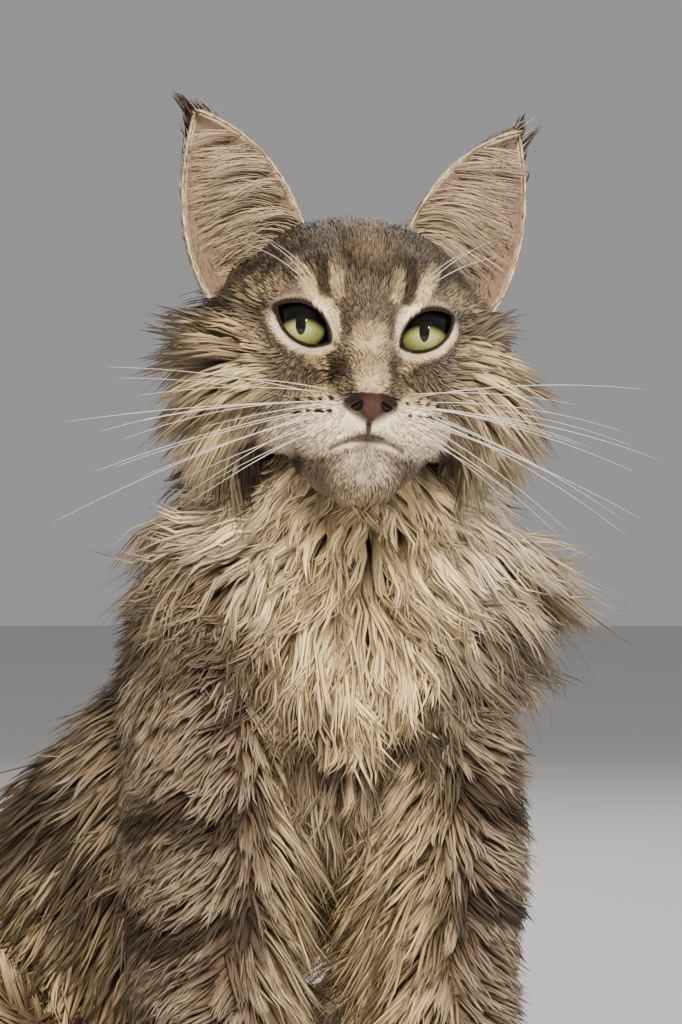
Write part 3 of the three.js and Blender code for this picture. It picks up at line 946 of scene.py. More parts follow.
@dataclass
class Markings:
    """Where the coat is dark, cream or white and where an ear is bare, alike for the skin and the coat over it. The
    dark share also holds painted shade: under the bib's hem, the jaw and the chin, in the mouth's groove and between
    the toes.

    A stroke is drawn in the head's front view, in its own millimetres: from x, z to x, z, with a half width, a
    softness and a strength, on both sides of the face.
    """

    body: Build
    head: HeadForm
    ear: EarForm
    pale_strokes: Sequence[Sequence[float]] = (
        (25, 24, 20, 13, 1.9, 1.8, 0.85),  # brow, above the inner corner of the eye
        (20, 13, 12.5, 4, 1.8, 1.6, 0.8),
        (12.5, 4, 11.5, -5, 1.6, 1.5, 0.85),
        (10.8, 22, 10.4, 12, 1.2, 1.6, 0.6),
        (0, -5, 0, -20, 5.2, 4.0, 0.52),  # bridge of the nose
        (3, 30, 4, 46, 2.2, 3.5, 0.3),
        (19, -9, 14.5, -13, 1.5, 1.8, 0.8),  # under the inner corner of the eye
        (14, -22, 20, -27, 3.0, 3.5, 0.75),
        (34, 16, 48, 14, 3.0, 4.0, 0.4),
        (58, 2, 44, -4, 4.0, 5.0, 0.5),  # cheek
        (60, -18, 40, -20, 3.0, 5.0, 0.5),
        (70, -40, 48, -36, 3.0, 5.0, 0.7),
    )
    dark_strokes: Sequence[Sequence[float]] = (
        (15.8, 25, 15.2, 12, 1.7, 1.8, 0.85),  # brow stripe
        (17, 27, 20, 44, 1.8, 4.0, 0.45),
        (6.5, 24, 8.5, 44, 1.5, 3.2, 0.4),
        (2.2, 20, 2.8, 11, 1.3, 2.6, 0.35),
        (0, 26, 0, 5, 6.0, 5.0, 0.38),
        (8.4, 9, 8.0, -3, 1.3, 2.0, 0.5),  # along the side of the bridge
        (9.6, -14, 8.8, -22, 2.0, 2.2, 0.6),
        (10, -24, 7.5, -27, 1.2, 1.8, 0.6),
        (13.6, -5.5, 13.0, -9, 0.6, 1.0, 0.9),  # tear line
        (32, 8.0, 46, 10, 1.1, 2.2, 0.5),  # from the outer corner of the eye
        (30, -15, 20, -17, 3.4, 4.5, 0.35),
        (46, -8, 62, -14, 2.0, 3.0, 0.45),  # cheek streaks
        (36, -27, 52, -31, 1.6, 3.0, 0.6),
        (44, -42, 68, -52, 2.0, 3.0, 0.3),
        # painted shadow below the pads, under the jaw and under the chin
        (25, -50, 36, -44, 3.4, 4.0, 0.95),
        (20, -60, 32, -52, 3.0, 5.0, 0.7),
        (0, -68, 14, -65, 2.5, 4.0, 0.35),
        (14, 46, 26, 34, 3.5, 5.0, 0.5),  # inside the base of the ear
    )
    opening: tuple[float, float, float, float] = (10.9, 6.5, 6.3, 34.0)  # eye: half width, above, below, slant

    @staticmethod
    def stroke(x: Array, z: Array, stroke: Sequence[float]) -> Array:
        """How strongly a stroke marks some places of the front view.

        Args:
            x: how far right each point of the view is.
            z: how high it is.
            stroke: its two ends, half width, softness and strength.

        Returns:
            One share for each place.
        """
        x0, z0, x1, z1, half, soft, strength = stroke
        dx, dz = x1 - x0, z1 - z0
        along = np.clip(((x - x0) * dx + (z - z0) * dz) / (dx * dx + dz * dz), 0, 1)
        apart = np.hypot(x - x0 - along * dx, z - z0 - along * dz)
        return strength * (1 - smooth(half, half + soft, apart))

    def on_face(self, p: Array) -> dict[str, Array]:
        """The markings at places in the head's own frame, each from 0 to 1.

        Args:
            p: places in the head's own frame.

        Returns:
            The pale, dark and white shares.
        """
        jitter = columns(noise(p, 5, 31) - 0.5, noise(p, 5, 32) - 0.5) * 2.4
        x, z = np.abs(p[:, 0]) + jitter[:, 0], p[:, 2] + jitter[:, 1]
        front = smooth(6, -12, p[:, 1])
        pale = np.zeros(len(p))
        for stroke in self.pale_strokes:
            pale = np.maximum(pale, self.stroke(x, z, stroke))
        dark = np.zeros(len(p))
        for stroke in self.dark_strokes:
            dark = np.maximum(dark, self.stroke(x, z, stroke))
        crown = smooth(8, 24, p[:, 2]) * (0.4 + 0.45 * smooth(0.35, 0.85, noise(p * (1, 1, 0.35), 6, 3)))
        dark = np.maximum(dark, crown * (1 - 0.7 * pale))
        pale *= 1 - 0.35 * smooth(6, 22, p[:, 2])
        side, height = np.abs(p[:, 0]), p[:, 2]
        pads = 1 - smooth(0.75, 1.15, np.hypot((side - 14) / 19.5, (height + 35.5 + 0.1 * side) / 10))
        chin = 1 - smooth(0.5, 1.2, np.hypot(side / 13, (height + 50) / 9))
        white = np.maximum(pads, chin * 0.45) * front
        dark = np.maximum(dark, self.whisker_spots(p) * front)
        # The dark lip line and the parting under the nose: partly the lip's own dark edge, partly painted shade in the
        # mouth's groove, widest at the middle.
        mid = smooth(9, 0, side)
        lip = 1 - smooth(0.3 + 0.8 * mid, 1.6 + 1.4 * mid, self.beside_mouth(p))
        dark = np.maximum(dark, lip * (0.87 + 0.1 * mid) * front)
        gap, under = self.beside_eye(p)
        ring = (1 - smooth(3.2, 4.8, gap)) * under
        above = 1 - under
        liner = 1 - smooth(0.9 + above, 1.7 + 1.4 * above, gap)
        pale = np.maximum(pale, ring)
        dark = np.maximum(dark * (1 - ring), liner)
        return {"pale": pale * front, "dark": dark, "white": np.maximum(white, ring * 0.6)}

    @staticmethod
    def beside_mouth(p: Array) -> Array:
        """How far places lie from the lip line and the parting above it in the front view.

        Args:
            p: places in the head's own frame.

        Returns:
            One distance for each place.
        """
        side, height = np.abs(p[:, 0]), p[:, 2]
        lip = np.hypot(np.maximum(side - 12.5, 0), height + 40.2 + 0.022 * side**2 + 0.05 * side)
        return np.minimum(lip, np.hypot(side * 1.8, np.maximum(np.abs(height + 38) - 2.4, 0)))

    @staticmethod
    def whisker_spots(p: Array) -> Array:
        """The dark spots in rows on the pads, from which the whiskers grow.

        Args:
            p: places in the head's own frame.

        Returns:
            One share for each place.
        """
        side, height = np.abs(p[:, 0]), p[:, 2]
        spots = np.zeros(len(p))
        for row, level in enumerate((-27.6, -32.2)):
            for column in range(4):
                apart = np.hypot(side - (13.2 + 3.6 * column + row * 0.8), height - level + 0.12 * column)
                spots = np.maximum(spots, 1 - smooth(0.6, 1.4, apart))
        return spots

    def almond(self, count: int) -> Array:
        """The outline of an eye's opening, x and z about its middle, before its slant.

        Args:
            count: how many points each of its two edges has.

        Returns:
            The points in order.
        """
        half, above, below, _ = self.opening
        t = np.linspace(0, 1, count, endpoint=False)[:, None]

        def bend(height: float, way: int) -> Array:
            """Places on one bowed edge.

            Args:
                height: how far it bows.
                way: 1 or -1, the side where it starts.

            Returns:
                The points in order.
            """
            a, b = np.array([-half * way, 0]), np.array([-half * 0.5 * way, height])
            c, d = np.array([half * 0.5 * way, height]), np.array([half * way, 0])
            return a * (1 - t) ** 3 + 3 * b * t * (1 - t) ** 2 + 3 * c * t * t * (1 - t) + d * t**3

        return np.vstack([bend(above * 1.3, 1), bend(-below * 1.3, -1)])

    def opening_line(self, count: int) -> Array:
        """The outline of the left eye's opening, x and z in the head's frame.

        Args:
            count: how many points each of its two edges has.

        Returns:
            The points in order.
        """
        slant = math.radians(self.opening[3])
        c, s = math.cos(slant), math.sin(slant)
        turned = self.almond(count) @ np.array([[c, s], [-s, c]])
        return turned + np.array([self.head.eye_place[0], self.head.eye_place[2]])

    def beside_eye(self, p: Array) -> tuple[Array, Array]:
        """How far places lie from the eyes' openings in the front view, and how far they are below or inside them.

        Args:
            p: places in the head's own frame.

        Returns:
            The distances and the shares.
        """
        gap = np.full(len(p), FAR)
        under = np.zeros(len(p))
        flat = columns(np.abs(p[:, 0]), p[:, 2])
        eye = np.array([self.head.eye_place[0], self.head.eye_place[2]])
        near = np.flatnonzero((np.linalg.norm(flat - eye, axis=1) < 20) & (p[:, 1] < -12))
        if len(near):
            line = self.opening_line(40)
            gap[near] = np.linalg.norm(flat[near, None] - line[None], axis=2).min(axis=1)
            rel = flat[near] - eye
            turn = np.degrees(np.arctan2(rel[:, 1], rel[:, 0]))
            above = smooth(0, 30, turn) * smooth(125, 95, turn)
            under[near] = 1 - 0.8 * above
        return gap, under

    def read(self, points: Array, coat: dict[str, Array]) -> dict[str, Array]:
        """The markings at places on the skin.

        Args:
            points: places in the cat's millimetres.
            coat: the coat's fields there, which say how much each region counts.

        Returns:
            The cream, white, dark and ear shares, by name.
        """
        p = self.head.local(points)
        face = self.on_face(p)
        head, ear = coat["is_head"], coat["is_ear"]
        warp = noise(points, 30, 5) - 0.5
        cream = np.zeros(len(points))
        dark = np.zeros(len(points))
        for name, weight in coat["weights"].items():
            if name == "head":
                continue
            share, angle = coat["shares"][name], coat["angles"][name]
            c, d = self.on_limb(name, share + warp * 0.08, angle, points)
            cream += c * weight
            dark += d * weight
        under_chin = smooth(-54, -66, p[:, 2])
        sides = smooth(30, 50, np.abs(p[:, 0])) * smooth(14, -22, p[:, 2])
        sides = sides * (0.6 + 0.4 * noise(p, 9, 17))
        face_cream = np.clip(face["pale"] + under_chin * 0.75 + sides, 0, 1)
        fade = 1 - smooth(8, 30, p[:, 1]) * 0.6
        cream = mixed(cream + 0.35 * coat["flank"], face_cream * fade * 0.95, head)
        dark *= 1 - 0.6 * coat["flank"]
        dark = mixed(dark, np.maximum(face["dark"], 0.15 * (1 - face["white"])), head)
        neck_turn = np.radians(coat["angles"]["neck"])
        beside = smooth(14, 46, np.abs(points[:, 0] - self.body.chest_middle)) * smooth(-0.6, 0.1, -np.sin(neck_turn))
        beside *= smooth(258, 290, points[:, 2]) * coat["weights"]["neck"]
        rim = smooth(2.6, 1.4, self.ear.from_rim(folded(p))) * ear
        cream = np.maximum(cream, rim * 0.7)
        ear = ear * (1 - rim)
        return {
            "cream": np.clip(cream, 0, 1),
            "white": np.maximum(np.maximum(face["white"], rim * 0.35), 0.35 * sides) * head + 0.8 * beside,
            "dark": np.clip(dark, 0, 1),
            "ear": ear,
        }

    def on_limb(self, name: str, share: Array, angle: Array, points: Array) -> tuple[Array, Array]:
        """How cream and how dark the coat of one limb is.

        Args:
            name: the limb's name.
            share: how far along it each place lies.
            angle: how far round it, in degrees.
            points: places in the cat's millimetres.

        Returns:
            The cream and the dark shares.
        """
        x = points[:, 0] - self.body.chest_middle
        turn = np.radians(angle)
        far = np.abs(x + 6 * (noise(points, 16, 14) - 0.5))
        hem = 248 + 41 * (1 - np.exp(-far / 22)) + 0.3 * far + 14 * (noise(points, 12, 15) - 0.5)
        bib = smooth(-7, 7, points[:, 2] - hem) * smooth(95, 70, far)
        below = hem - points[:, 2]
        # Painted shadow just below the bib's hem, stronger on the cat's left side of the chest.
        shade = smooth(-4, 5, below) * smooth(34, 12, below) * smooth(60, 35, far) * (0.35 + 0.3 * smooth(-10, 20, x))
        if name == "neck":
            front = smooth(-0.75, 0.1, -np.sin(turn))
            cream = 0.12 + 0.88 * front * bib * (0.82 + 0.36 * noise(points, 18, 16))
            streak = smooth(0.55, 0.8, noise(points * (1, 1, 0.5), 15, 8))
            return cream * (1 - 0.5 * shade), np.maximum(streak * (0.75 - 0.6 * front * bib), shade * (front > 0.3))
        if name == "torso":
            front = smooth(0.3, 0.9, -np.sin(turn)) * smooth(60, 30, np.abs(x)) * (0.5 + 0.5 * bib)
            bars = smooth(0.1, 0.75, np.sin(share * 34 + np.cos(turn) * 1.4 + noise(points, 40, 9) * 5))
            spine = smooth(0.93, 0.99, np.sin(turn))
            low = smooth(215, 150, points[:, 2]) * smooth(0.8, 0.3, np.sin(turn)) * (1 - front)
            dark = np.maximum(bars * (0.7 - 0.4 * low), spine * 0.9) * (1 - front)
            return 0.14 + 0.8 * front + 0.3 * low, np.maximum(dark, shade * smooth(0.3, 0.9, -np.sin(turn)))
        if name.startswith("foreleg"):
            inner = smooth(0.1, 0.8, np.cos(turn) * (-1 if name.endswith("left") else 1))
            bars = smooth(0.25, 0.8, np.sin(share * 39 + 1.1 + noise(points, 26, 10) * 2.4))
            top = smooth(0.0, 0.22, share)
            fore = smooth(0.2, 0.9, -np.sin(turn)) * smooth(0.3, 0.7, share) * 0.28
            dark = np.maximum(bars * (0.85 - 0.6 * inner) * top, shade * inner)
            return 0.08 + fore + (0.62 - fore) * inner * (1 - 0.3 * share), dark
        if name.startswith("haunch"):
            bars = smooth(0.35, 0.85, np.sin(share * 22 + np.cos(turn) * 1.2 + noise(points, 34, 11) * 4))
            return 0.42 + 0.4 * noise(points, 20, 18), bars * 0.35
        if name == "tail":
            bars = smooth(0.15, 0.7, np.sin(share * 50 + noise(points, 30, 12) * 1.5))
            tip = smooth(0.9, 0.97, share)
            return np.full(len(points), 0.25), np.maximum(bars * 0.8, tip * 0.9)
        # Random darker patches, and painted shade in the clefts between the toes.
        dark = np.maximum(smooth(0.6, 0.9, noise(points, 14, 13)) * 0.4, 0.75 * self.body.between_toes(points))
        return 0.3 + 0.3 * smooth(22, 8, points[:, 2]), dark


# The skin


@dataclass
class Skin:
    """All the flesh as one closed form: trunk, legs, tail, head and ears."""

    shop: Workshop
    body: Build
    head: HeadForm
    ear: EarForm
    markings: Markings
    voxel: float = 0.0033
    head_around: int = 230
    head_along: int = 150
    face_detail: float = 1.5
    obj: Optional[bpy.types.Object] = None

    def trunk(self) -> bpy.types.Object:
        """Every limb and toe, melted together.

        Returns:
            The closed mesh.
        """
        pieces = []
        for name, limb in self.body.limbs.items():
            along = 90 if name == "tail" else 48
            pieces.append(self.shop.stretched(name, limb, 40, along))
        for at, across, heading, half in self.body.toes():
            axes = np.array([across * half * 0.29, heading * 13.0, [0, 0, 10.5]])

            def toe(points: Array, at: Array = at, axes: Array = axes) -> Array:
                """A toe's round form."""
                return at + points @ axes

            pieces.append(self.shop.ball("toe", 16, 12, toe))
        trunk = self.shop.join("skin", pieces)
        self.shop.modify(trunk, "REMESH", mode="VOXEL", voxel_size=self.voxel)
        self.shop.modify(trunk, "SMOOTH", factor=0.5, iterations=6)
        points = self.shop.to_cat(self.shop.coordinates(trunk))
        points[:, 2] -= 1.3 * self.body.between_toes(points) * smooth(2, 12, points[:, 2])
        points = self.shop.to_scene(points)
        points[:, 2] = np.maximum(points[:, 2], 0.0006)
        self.shop.move(trunk, points)
        return trunk

    def skull(self) -> bpy.types.Object:
        """The head, finest round the nose.

        Returns:
            The closed mesh.
        """
        aim = unit(np.array([[0, -1, -0.3]]))[0]
        side = np.array([1.0, 0, 0])
        up = np.cross(side, aim)

        def place(points: Array) -> Array:
            """The place on the head of each place of a ball.

            Args:
                points: places on a ball of radius 1.

            Returns:
                Places in the cat's millimetres.
            """
            spread = np.arccos(np.clip(points[:, 2], -1, 1))
            angle = np.pi * (spread / np.pi) ** self.face_detail
            turn = np.arctan2(points[:, 1], points[:, 0])
            round_ = np.cos(turn)[:, None] * side + np.sin(turn)[:, None] * up
            aims = np.cos(angle)[:, None] * aim + np.sin(angle)[:, None] * round_
            return self.head.place(self.head.on_skin(aims, -0.8))

        return self.shop.ball("head", self.head_around, self.head_along, place)

    def ear_shell(self, side: int) -> bpy.types.Object:
        """An ear as a thin closed shell, rolled over at its rim.

        Args:
            side: 1 for the left and -1 for the right.

        Returns:
            The closed mesh.
        """
        self.shop.clear_selection()
        bpy.ops.mesh.primitive_grid_add(x_subdivisions=ACROSS_COUNT, y_subdivisions=UP_COUNT, size=2)
        obj = bpy.context.object
        points = self.shop.coordinates(obj)
        across = points[:, 0]
        up = (points[:, 1] + 1) / 2
        middle = self.ear.point(across, up * 0.995, np.full(len(up), 0.5), side)
        self.shop.move(obj, self.shop.to_scene(self.head.place(middle)))
        self.shop.modify(obj, "SOLIDIFY", thickness=0.0021, offset=0, use_even_offset=False)
        self.shop.face_outwards(obj)
        return obj

    def eye_socket(self, side: int) -> bpy.types.Object:
        """The hollow that an eye sits in."""
        at = np.array(self.head.eye_place) * (side, 1, 1)
        return self.shop.ball("socket", 48, 32, lambda p: self.head.place(p * (self.head.eye_radius + 0.15) + at))

    def opening_line(self, side: int, count: int) -> Array:
        """The edge of an eye's opening in the head's frame, on the plane through the eye's middle."""
        flat = self.markings.opening_line(count)
        return columns(flat[:, 0] * side, self.head.eye_place[1], flat[:, 1])

    def eye_opening(self, side: int) -> bpy.types.Object:
        """The almond that is cut through the lids.

        Args:
            side: 1 for the left and -1 for the right.

        Returns:
            The closed mesh to cut with.
        """
        line = self.opening_line(side, 28)
        count = len(line)
        points = np.vstack([line, line + (0, -34, 0)])
        ring = np.arange(count)
        after = (ring + 1) % count
        quads = np.stack([ring, after, after + count, ring + count], axis=1)
        obj = self.shop.from_arrays("opening", self.head.place(points), np.zeros((0, 3), int), quads)
        with self.shop.editing(obj):
            bpy.ops.mesh.fill_holes(sides=0)
            bpy.ops.mesh.quads_convert_to_tris()
        self.shop.face_outwards(obj)
        return obj

    def tube(self, name: str, line: Array, radius: float, closed: bool) -> bpy.types.Object:
        """A round tube along places in the head's frame.

        Args:
            name: the object's name.
            line: the places.
            radius: the tube's radius in millimetres.
            closed: whether the line is a ring.

        Returns:
            The closed mesh.
        """
        curve = bpy.data.curves.new(name, "CURVE")
        curve.dimensions = "3D"
        spline = curve.splines.new("POLY")
        places = self.shop.to_scene(self.head.place(line))
        spline.points.add(len(places) - 1)
        spline.points.foreach_set("co", np.column_stack([places, np.ones(len(places))]).ravel())
        spline.use_cyclic_u = closed
        curve.bevel_depth = radius * MM
        curve.bevel_resolution = 3
        curve.use_fill_caps = True
        obj = self.shop.linked(name, curve)
        self.shop.clear_selection()
        obj.select_set(True)
        bpy.context.view_layer.objects.active = obj
        bpy.ops.object.convert(target="MESH")
        obj = bpy.context.object
        self.shop.face_outwards(obj)
        return obj

    def lid_rim(self, side: int) -> bpy.types.Object:
        """The rounded margin of the lids, lying on the eye.

        Args:
            side: 1 for the left and -1 for the right.

        Returns:
            The closed mesh.
        """
        line = self.opening_line(side, 40)
        eye = np.array(self.head.eye_place) * (side, 1, 1)
        rel = line - eye
        reach = self.head.eye_radius + 0.75
        rel[:, 1] = -np.sqrt(np.maximum(reach**2 - rel[:, 0] ** 2 - rel[:, 2] ** 2, 4))
        return self.tube("rim", eye + rel, 0.95, True)

    def mouth(self) -> list[bpy.types.Object]:
        """The grooves of the lip line and of the parting under the nose.

        Returns:
            The closed meshes to cut with.
        """
        lines = [([0, 0, 0], [-34, -37, -40], 0.8)]
        for side in (1, -1):
            lines.append(([0, 4 * side, 8 * side, 11.5 * side, 14 * side], [-40.2, -40.8, -42.0, -43.7, -45.4], 1.1))
        tubes = []
        for xs, zs, radius in lines:
            flat = spline_at(columns(xs, zs), np.linspace(0, 1, 24))
            tubes.append(self.tube("groove", self.head.face_at(flat[:, 0], flat[:, 1]), radius, False))
        return tubes

    def build(self) -> bpy.types.Object:
        """Makes the whole skin.

        Returns:
            The closed skin, with its unwrap.
        """
        trunk = self.trunk()
        log.info("trunk: %d faces", len(trunk.data.polygons))
        skull = self.skull()
        for side in (1, -1):
            self.shop.combine(skull, self.lid_rim(side), "UNION")
            self.shop.combine(skull, self.eye_socket(side), "DIFFERENCE")
            self.shop.combine(skull, self.eye_opening(side), "DIFFERENCE")
            self.shop.combine(skull, self.ear_shell(side), "UNION")
        for tube in self.mouth():
            self.shop.combine(skull, tube, "DIFFERENCE")
        self.shop.combine(trunk, skull, "UNION")
        self.obj = trunk
        self.unwrap()
        self.shop.shade_smooth(trunk)
        log.info("skin: %d faces", len(trunk.data.polygons))
        return trunk

    def unwrap(self) -> None:
        """Lays the skin's faces out flat, on the map that its coat shares."""
        self.shop.clear_selection()
        self.obj.select_set(True)
        self.shop.clear_maps(self.obj)
        self.obj.data.uv_layers.new(name="OFBake")
        with self.shop.editing(self.obj):
            bpy.ops.mesh.quads_convert_to_tris()
        self.shop.put_in_order(self.obj.data)
        with self.shop.editing(self.obj):
            bpy.ops.uv.smart_project(angle_limit=math.radians(66), island_margin=0.002)


# The coat


@dataclass(frozen=True)
class CoatStyle:
    """How the coat of one region grows.

    Attributes:
        reach: hair length as a share of the coat's depth.
        lift: how far it stands off the skin at its root, against its lie.
        droop: how fast it turns downwards.
        width: a tuft's width, in millimetres.
        density: tufts to a square millimetre of skin.
        lock: how far apart the locks are, in millimetres.
        wave: how far a lock sways, as a share of its length.
        gather: how far the tufts of a lock close towards its tip.
        steps: how many lengths a tuft is made of.
        broad: how many times broader than high a lock is.
    """

    reach: float
    lift: float
    droop: float
    width: float
    density: float
    lock: float
    wave: float
    gather: float
    steps: int
    broad: float = 1.0


STYLES: dict[Region, CoatStyle] = {
    Region.HEAD: CoatStyle(1.0, 0.13, 0.03, 0.6, 0.8, 2.6, 0.02, 0.3, 2),
    Region.RUFF: CoatStyle(1.3, 0.7, 0.05, 1.75, 0.6, 4.8, 0.15, 0.82, 4),
    Region.TORSO: CoatStyle(1.8, 0.45, 0.1, 2.1, 0.09, 7.0, 0.06, 0.7, 3, 1.4),
    Region.FORELEG: CoatStyle(0.92, 0.62, 0.03, 1.4, 0.27, 4.6, 0.07, 0.45, 3, 1.8),
    Region.HAUNCH: CoatStyle(1.5, 0.5, 0.1, 2.0, 0.13, 7.0, 0.12, 0.8, 3, 1.2),
    Region.PAW: CoatStyle(1.1, 0.26, 0.05, 0.85, 0.22, 3.0, 0.02, 0.4, 2),
    Region.TAIL: CoatStyle(1.4, 0.58, 0.12, 1.8, 0.2, 6.0, 0.07, 0.6, 4),
}


@dataclass
class CoatField:
    """What grows at a place of the skin: the lie, length and kind of the coat."""

    body: Build
    head: HeadForm
    ear: EarForm

    def head_lie(self, p: Array) -> Array:
        """The lie of the coat at places in the head's own frame: away from the nose, back and down the cheeks.

        Args:
            p: places in the head's own frame.

        Returns:
            One direction for each place.
        """
        flow = unit(p - np.array([0, -84, -24]))
        cheek = smooth(18, 46, np.abs(p[:, 0])) * smooth(20, -16, p[:, 2])
        low = smooth(0, -36, p[:, 2])
        flow[:, 0] += np.sign(p[:, 0]) * 0.5 * cheek
        flow[:, 1] += 0.25 * cheek
        flow[:, 2] -= (0.42 + 0.3 * low) * cheek
        flow += np.array([0, 0.9, 0.1]) * smooth(-10, 30, p[:, 1])[:, None]
        flow += np.array([0, 0.2, -0.9]) * smooth(-44, -66, p[:, 2])[:, None]
        up_ear = columns(np.sign(p[:, 0]) * 0.3, 0.1, 1)
        return unit(mixed(unit(flow), up_ear, self.ear_share(p)[:, None]))

    def head_length(self, p: Array) -> Array:
        """The hair's length at places in the head's own frame, in millimetres.

        Args:
            p: places in the head's own frame.

        Returns:
            One length for each place.
        """
        from_nose = np.linalg.norm(p - np.array([0, -76, -26]), axis=1)
        cheek = smooth(26, 47, np.abs(p[:, 0])) * smooth(30, -6, p[:, 2])
        throat = smooth(-50, -64, p[:, 2]) * smooth(-70, -45, p[:, 1])
        nape = smooth(5, 45, p[:, 1])
        length = 2.6 + 0.045 * from_nose + 33 * cheek + 20 * throat + 14 * nape
        eye = np.array(self.head.eye_place)
        from_eye = np.hypot(np.abs(p[:, 0]) - eye[0], p[:, 2] - eye[2])
        length = mixed(length, 1.7 + 0 * length, smooth(17, 12.5, from_eye) * (p[:, 1] < -18))
        beside_mouth = Markings.beside_mouth(p)
        length = mixed(length, 1.8 + 0 * length, smooth(4.5, 1.5, beside_mouth) * (p[:, 1] < -30))
        up = np.linspace(-1, 1, 9)
        foot = self.ear.point(up, np.full(9, 0.08), np.full(9, 0.2), 1)
        from_foot = np.linalg.norm(folded(p)[:, None] - foot[None], axis=2).min(axis=1)
        length += 4 * smooth(13, 5, from_foot)
        return mixed(length, 3.0 + 0 * length, self.ear_share(p))

    def ear_share(self, p: Array) -> Array:
        """How far places in the head's frame belong to an ear, from 0 to 1.

        Args:
            p: places in the head's own frame.

        Returns:
            One share for each place.
        """
        across, up = np.meshgrid(np.linspace(-1, 1, 9), np.linspace(0.12, 1, 13))
        grid = self.ear.point(across.ravel(), up.ravel(), np.full(across.size, 0.5), 1)
        share = np.zeros(len(p))
        high = np.flatnonzero(p[:, 2] > 14)
        if len(high):
            gaps = np.linalg.norm(folded(p[high])[:, None] - grid[None], axis=2).min(axis=1)
            share[high] = smooth(6.5, 4.0, gaps)
        return share

    def read(self, points: Array) -> dict:
        """The coat at places on or near the skin.

        Args:
            points: places in the cat's millimetres.

        Returns:
            Each region's weight, share and angle, the blended lie, length, lift, droop, width, density, lock, wave
            and gather, the places in the head's frame, and the shares of head, ear and flank.
        """
        p = self.head.local(points)
        found, weights = {}, {}
        for name, limb in self.body.limbs.items():
            found[name] = limb.near(points)
            weights[name] = np.exp(-np.clip(found[name]["apart"], -8, 80) / 4.5)
        weights["head"] = np.exp(-np.clip(self.head.apart(p), -8, 80) / 3.5)
        total = sum(weights.values())
        weights = {name: weight / total for name, weight in weights.items()}
        out = {"weights": weights, "shares": {}, "angles": {}}
        lie = self.head.direction(self.head_lie(p)) * weights["head"][:, None]
        blend = {key: np.zeros(len(points)) for key in ("length", "lift", "droop", "width", "density", "lock", "wave")}
        blend["gather"] = np.zeros(len(points))
        for name, weight in weights.items():
            if name == "head":
                style, length = STYLES[Region.HEAD], self.head_length(p)
            else:
                limb, near = self.body.limbs[name], found[name]
                style = STYLES[limb.region]
                length = near["coat"] * style.reach * self.grown(limb, near, points)
                out["shares"][name], out["angles"][name] = near["share"], near["angle"]
                lie += self.limb_lie(limb, near, points) * weight[:, None]
            blend["length"] += length * weight
            for key in ("lift", "droop", "width", "density", "lock", "wave", "gather"):
                blend[key] += getattr(style, key) * weight
        side = np.array(self.body.hip_side)
        backward = np.array([-side[1], side[0], -0.3])
        out["flank"] = np.zeros(len(points))
        for name, way in (("haunch_left", 1), ("haunch_right", -1)):
            crease = smooth(30, 6, found["torso"]["apart"]) * weights[name]
            above = smooth(24, 4, found[name]["apart"]) * weights["torso"]
            out["flank"] += above
            lie = mixed(unit(lie), unit(backward + side * way * 0.45), crease[:, None])
            lie += side * (0.35 * above * way)[:, None]
            blend["length"] *= 1 + 0.25 * above
            blend["lift"] += 0.35 * crease + 0.2 * above
            blend["width"] *= 1 - 0.25 * crease
            blend["density"] *= 1 + 1.2 * crease + 0.5 * above
        wing = self.wing(points) * weights["neck"]
        blend["lift"] += 0.55 * wing
        blend["length"] *= 1 + 0.3 * wing
        out["is_head"] = weights["head"]
        out["is_ear"] = self.ear_share(p)
        out["local"] = p
        blend["lift"] *= 1 - 0.4 * out["is_ear"]
        blend["width"] *= 1 - 0.3 * out["is_ear"]
        shaggy = smooth(7, 24, blend["length"]) * weights["head"]
        blend["width"] += 0.75 * shaggy
        blend["lift"] += 0.42 * shaggy
        blend["lock"] += 2.4 * shaggy
        blend["droop"] += 0.12 * shaggy
        throat = smooth(-60, -66, p[:, 2]) * smooth(-92, -82, p[:, 2]) * smooth(34, 24, np.abs(p[:, 0]))
        throat *= smooth(-12, -30, p[:, 1])
        blend["wave"] += 0.22 * throat
        blend["length"] *= 1 - 0.35 * throat
        blend["lock"] *= 1 - 0.3 * throat
        out["lie"] = unit(lie)
        out.update(blend)
        return out

    def wing(self, points: Array) -> Array:
        """How far places belong to the wide sides of the ruff, level with the throat."""
        far = np.abs(points[:, 0] - self.body.chest_middle)
        return smooth(286, 304, points[:, 2]) * smooth(358, 338, points[:, 2]) * smooth(22, 46, far)

    def grown(self, limb: Limb, near: dict[str, Array], points: Array) -> Array:
        """How many times longer than its region's the coat is at places: longest inside the forelegs.

        Args:
            limb: the limb.
            near: what the limb's near gives for the places.
            points: places in the cat's millimetres.

        Returns:
            One factor for each place.
        """
        if limb.region is Region.FORELEG:
            side = np.sign(points[:, 0] - self.body.chest_middle)
            inner = smooth(0.35, 0.85, -np.cos(np.radians(near["angle"])) * side)
            return 1 + 2.0 * inner * smooth(0.1, 0.3, near["share"]) * smooth(0.95, 0.7, near["share"])
        if limb.region is Region.RUFF:
            front = smooth(0.1, 0.8, -np.sin(np.radians(near["angle"]))) * (1 - self.wing(points))
            return (1 - 0.2 * smooth(0.75, 0.95, near["share"])) * (1 - 0.2 * front)
        return np.ones(len(points))

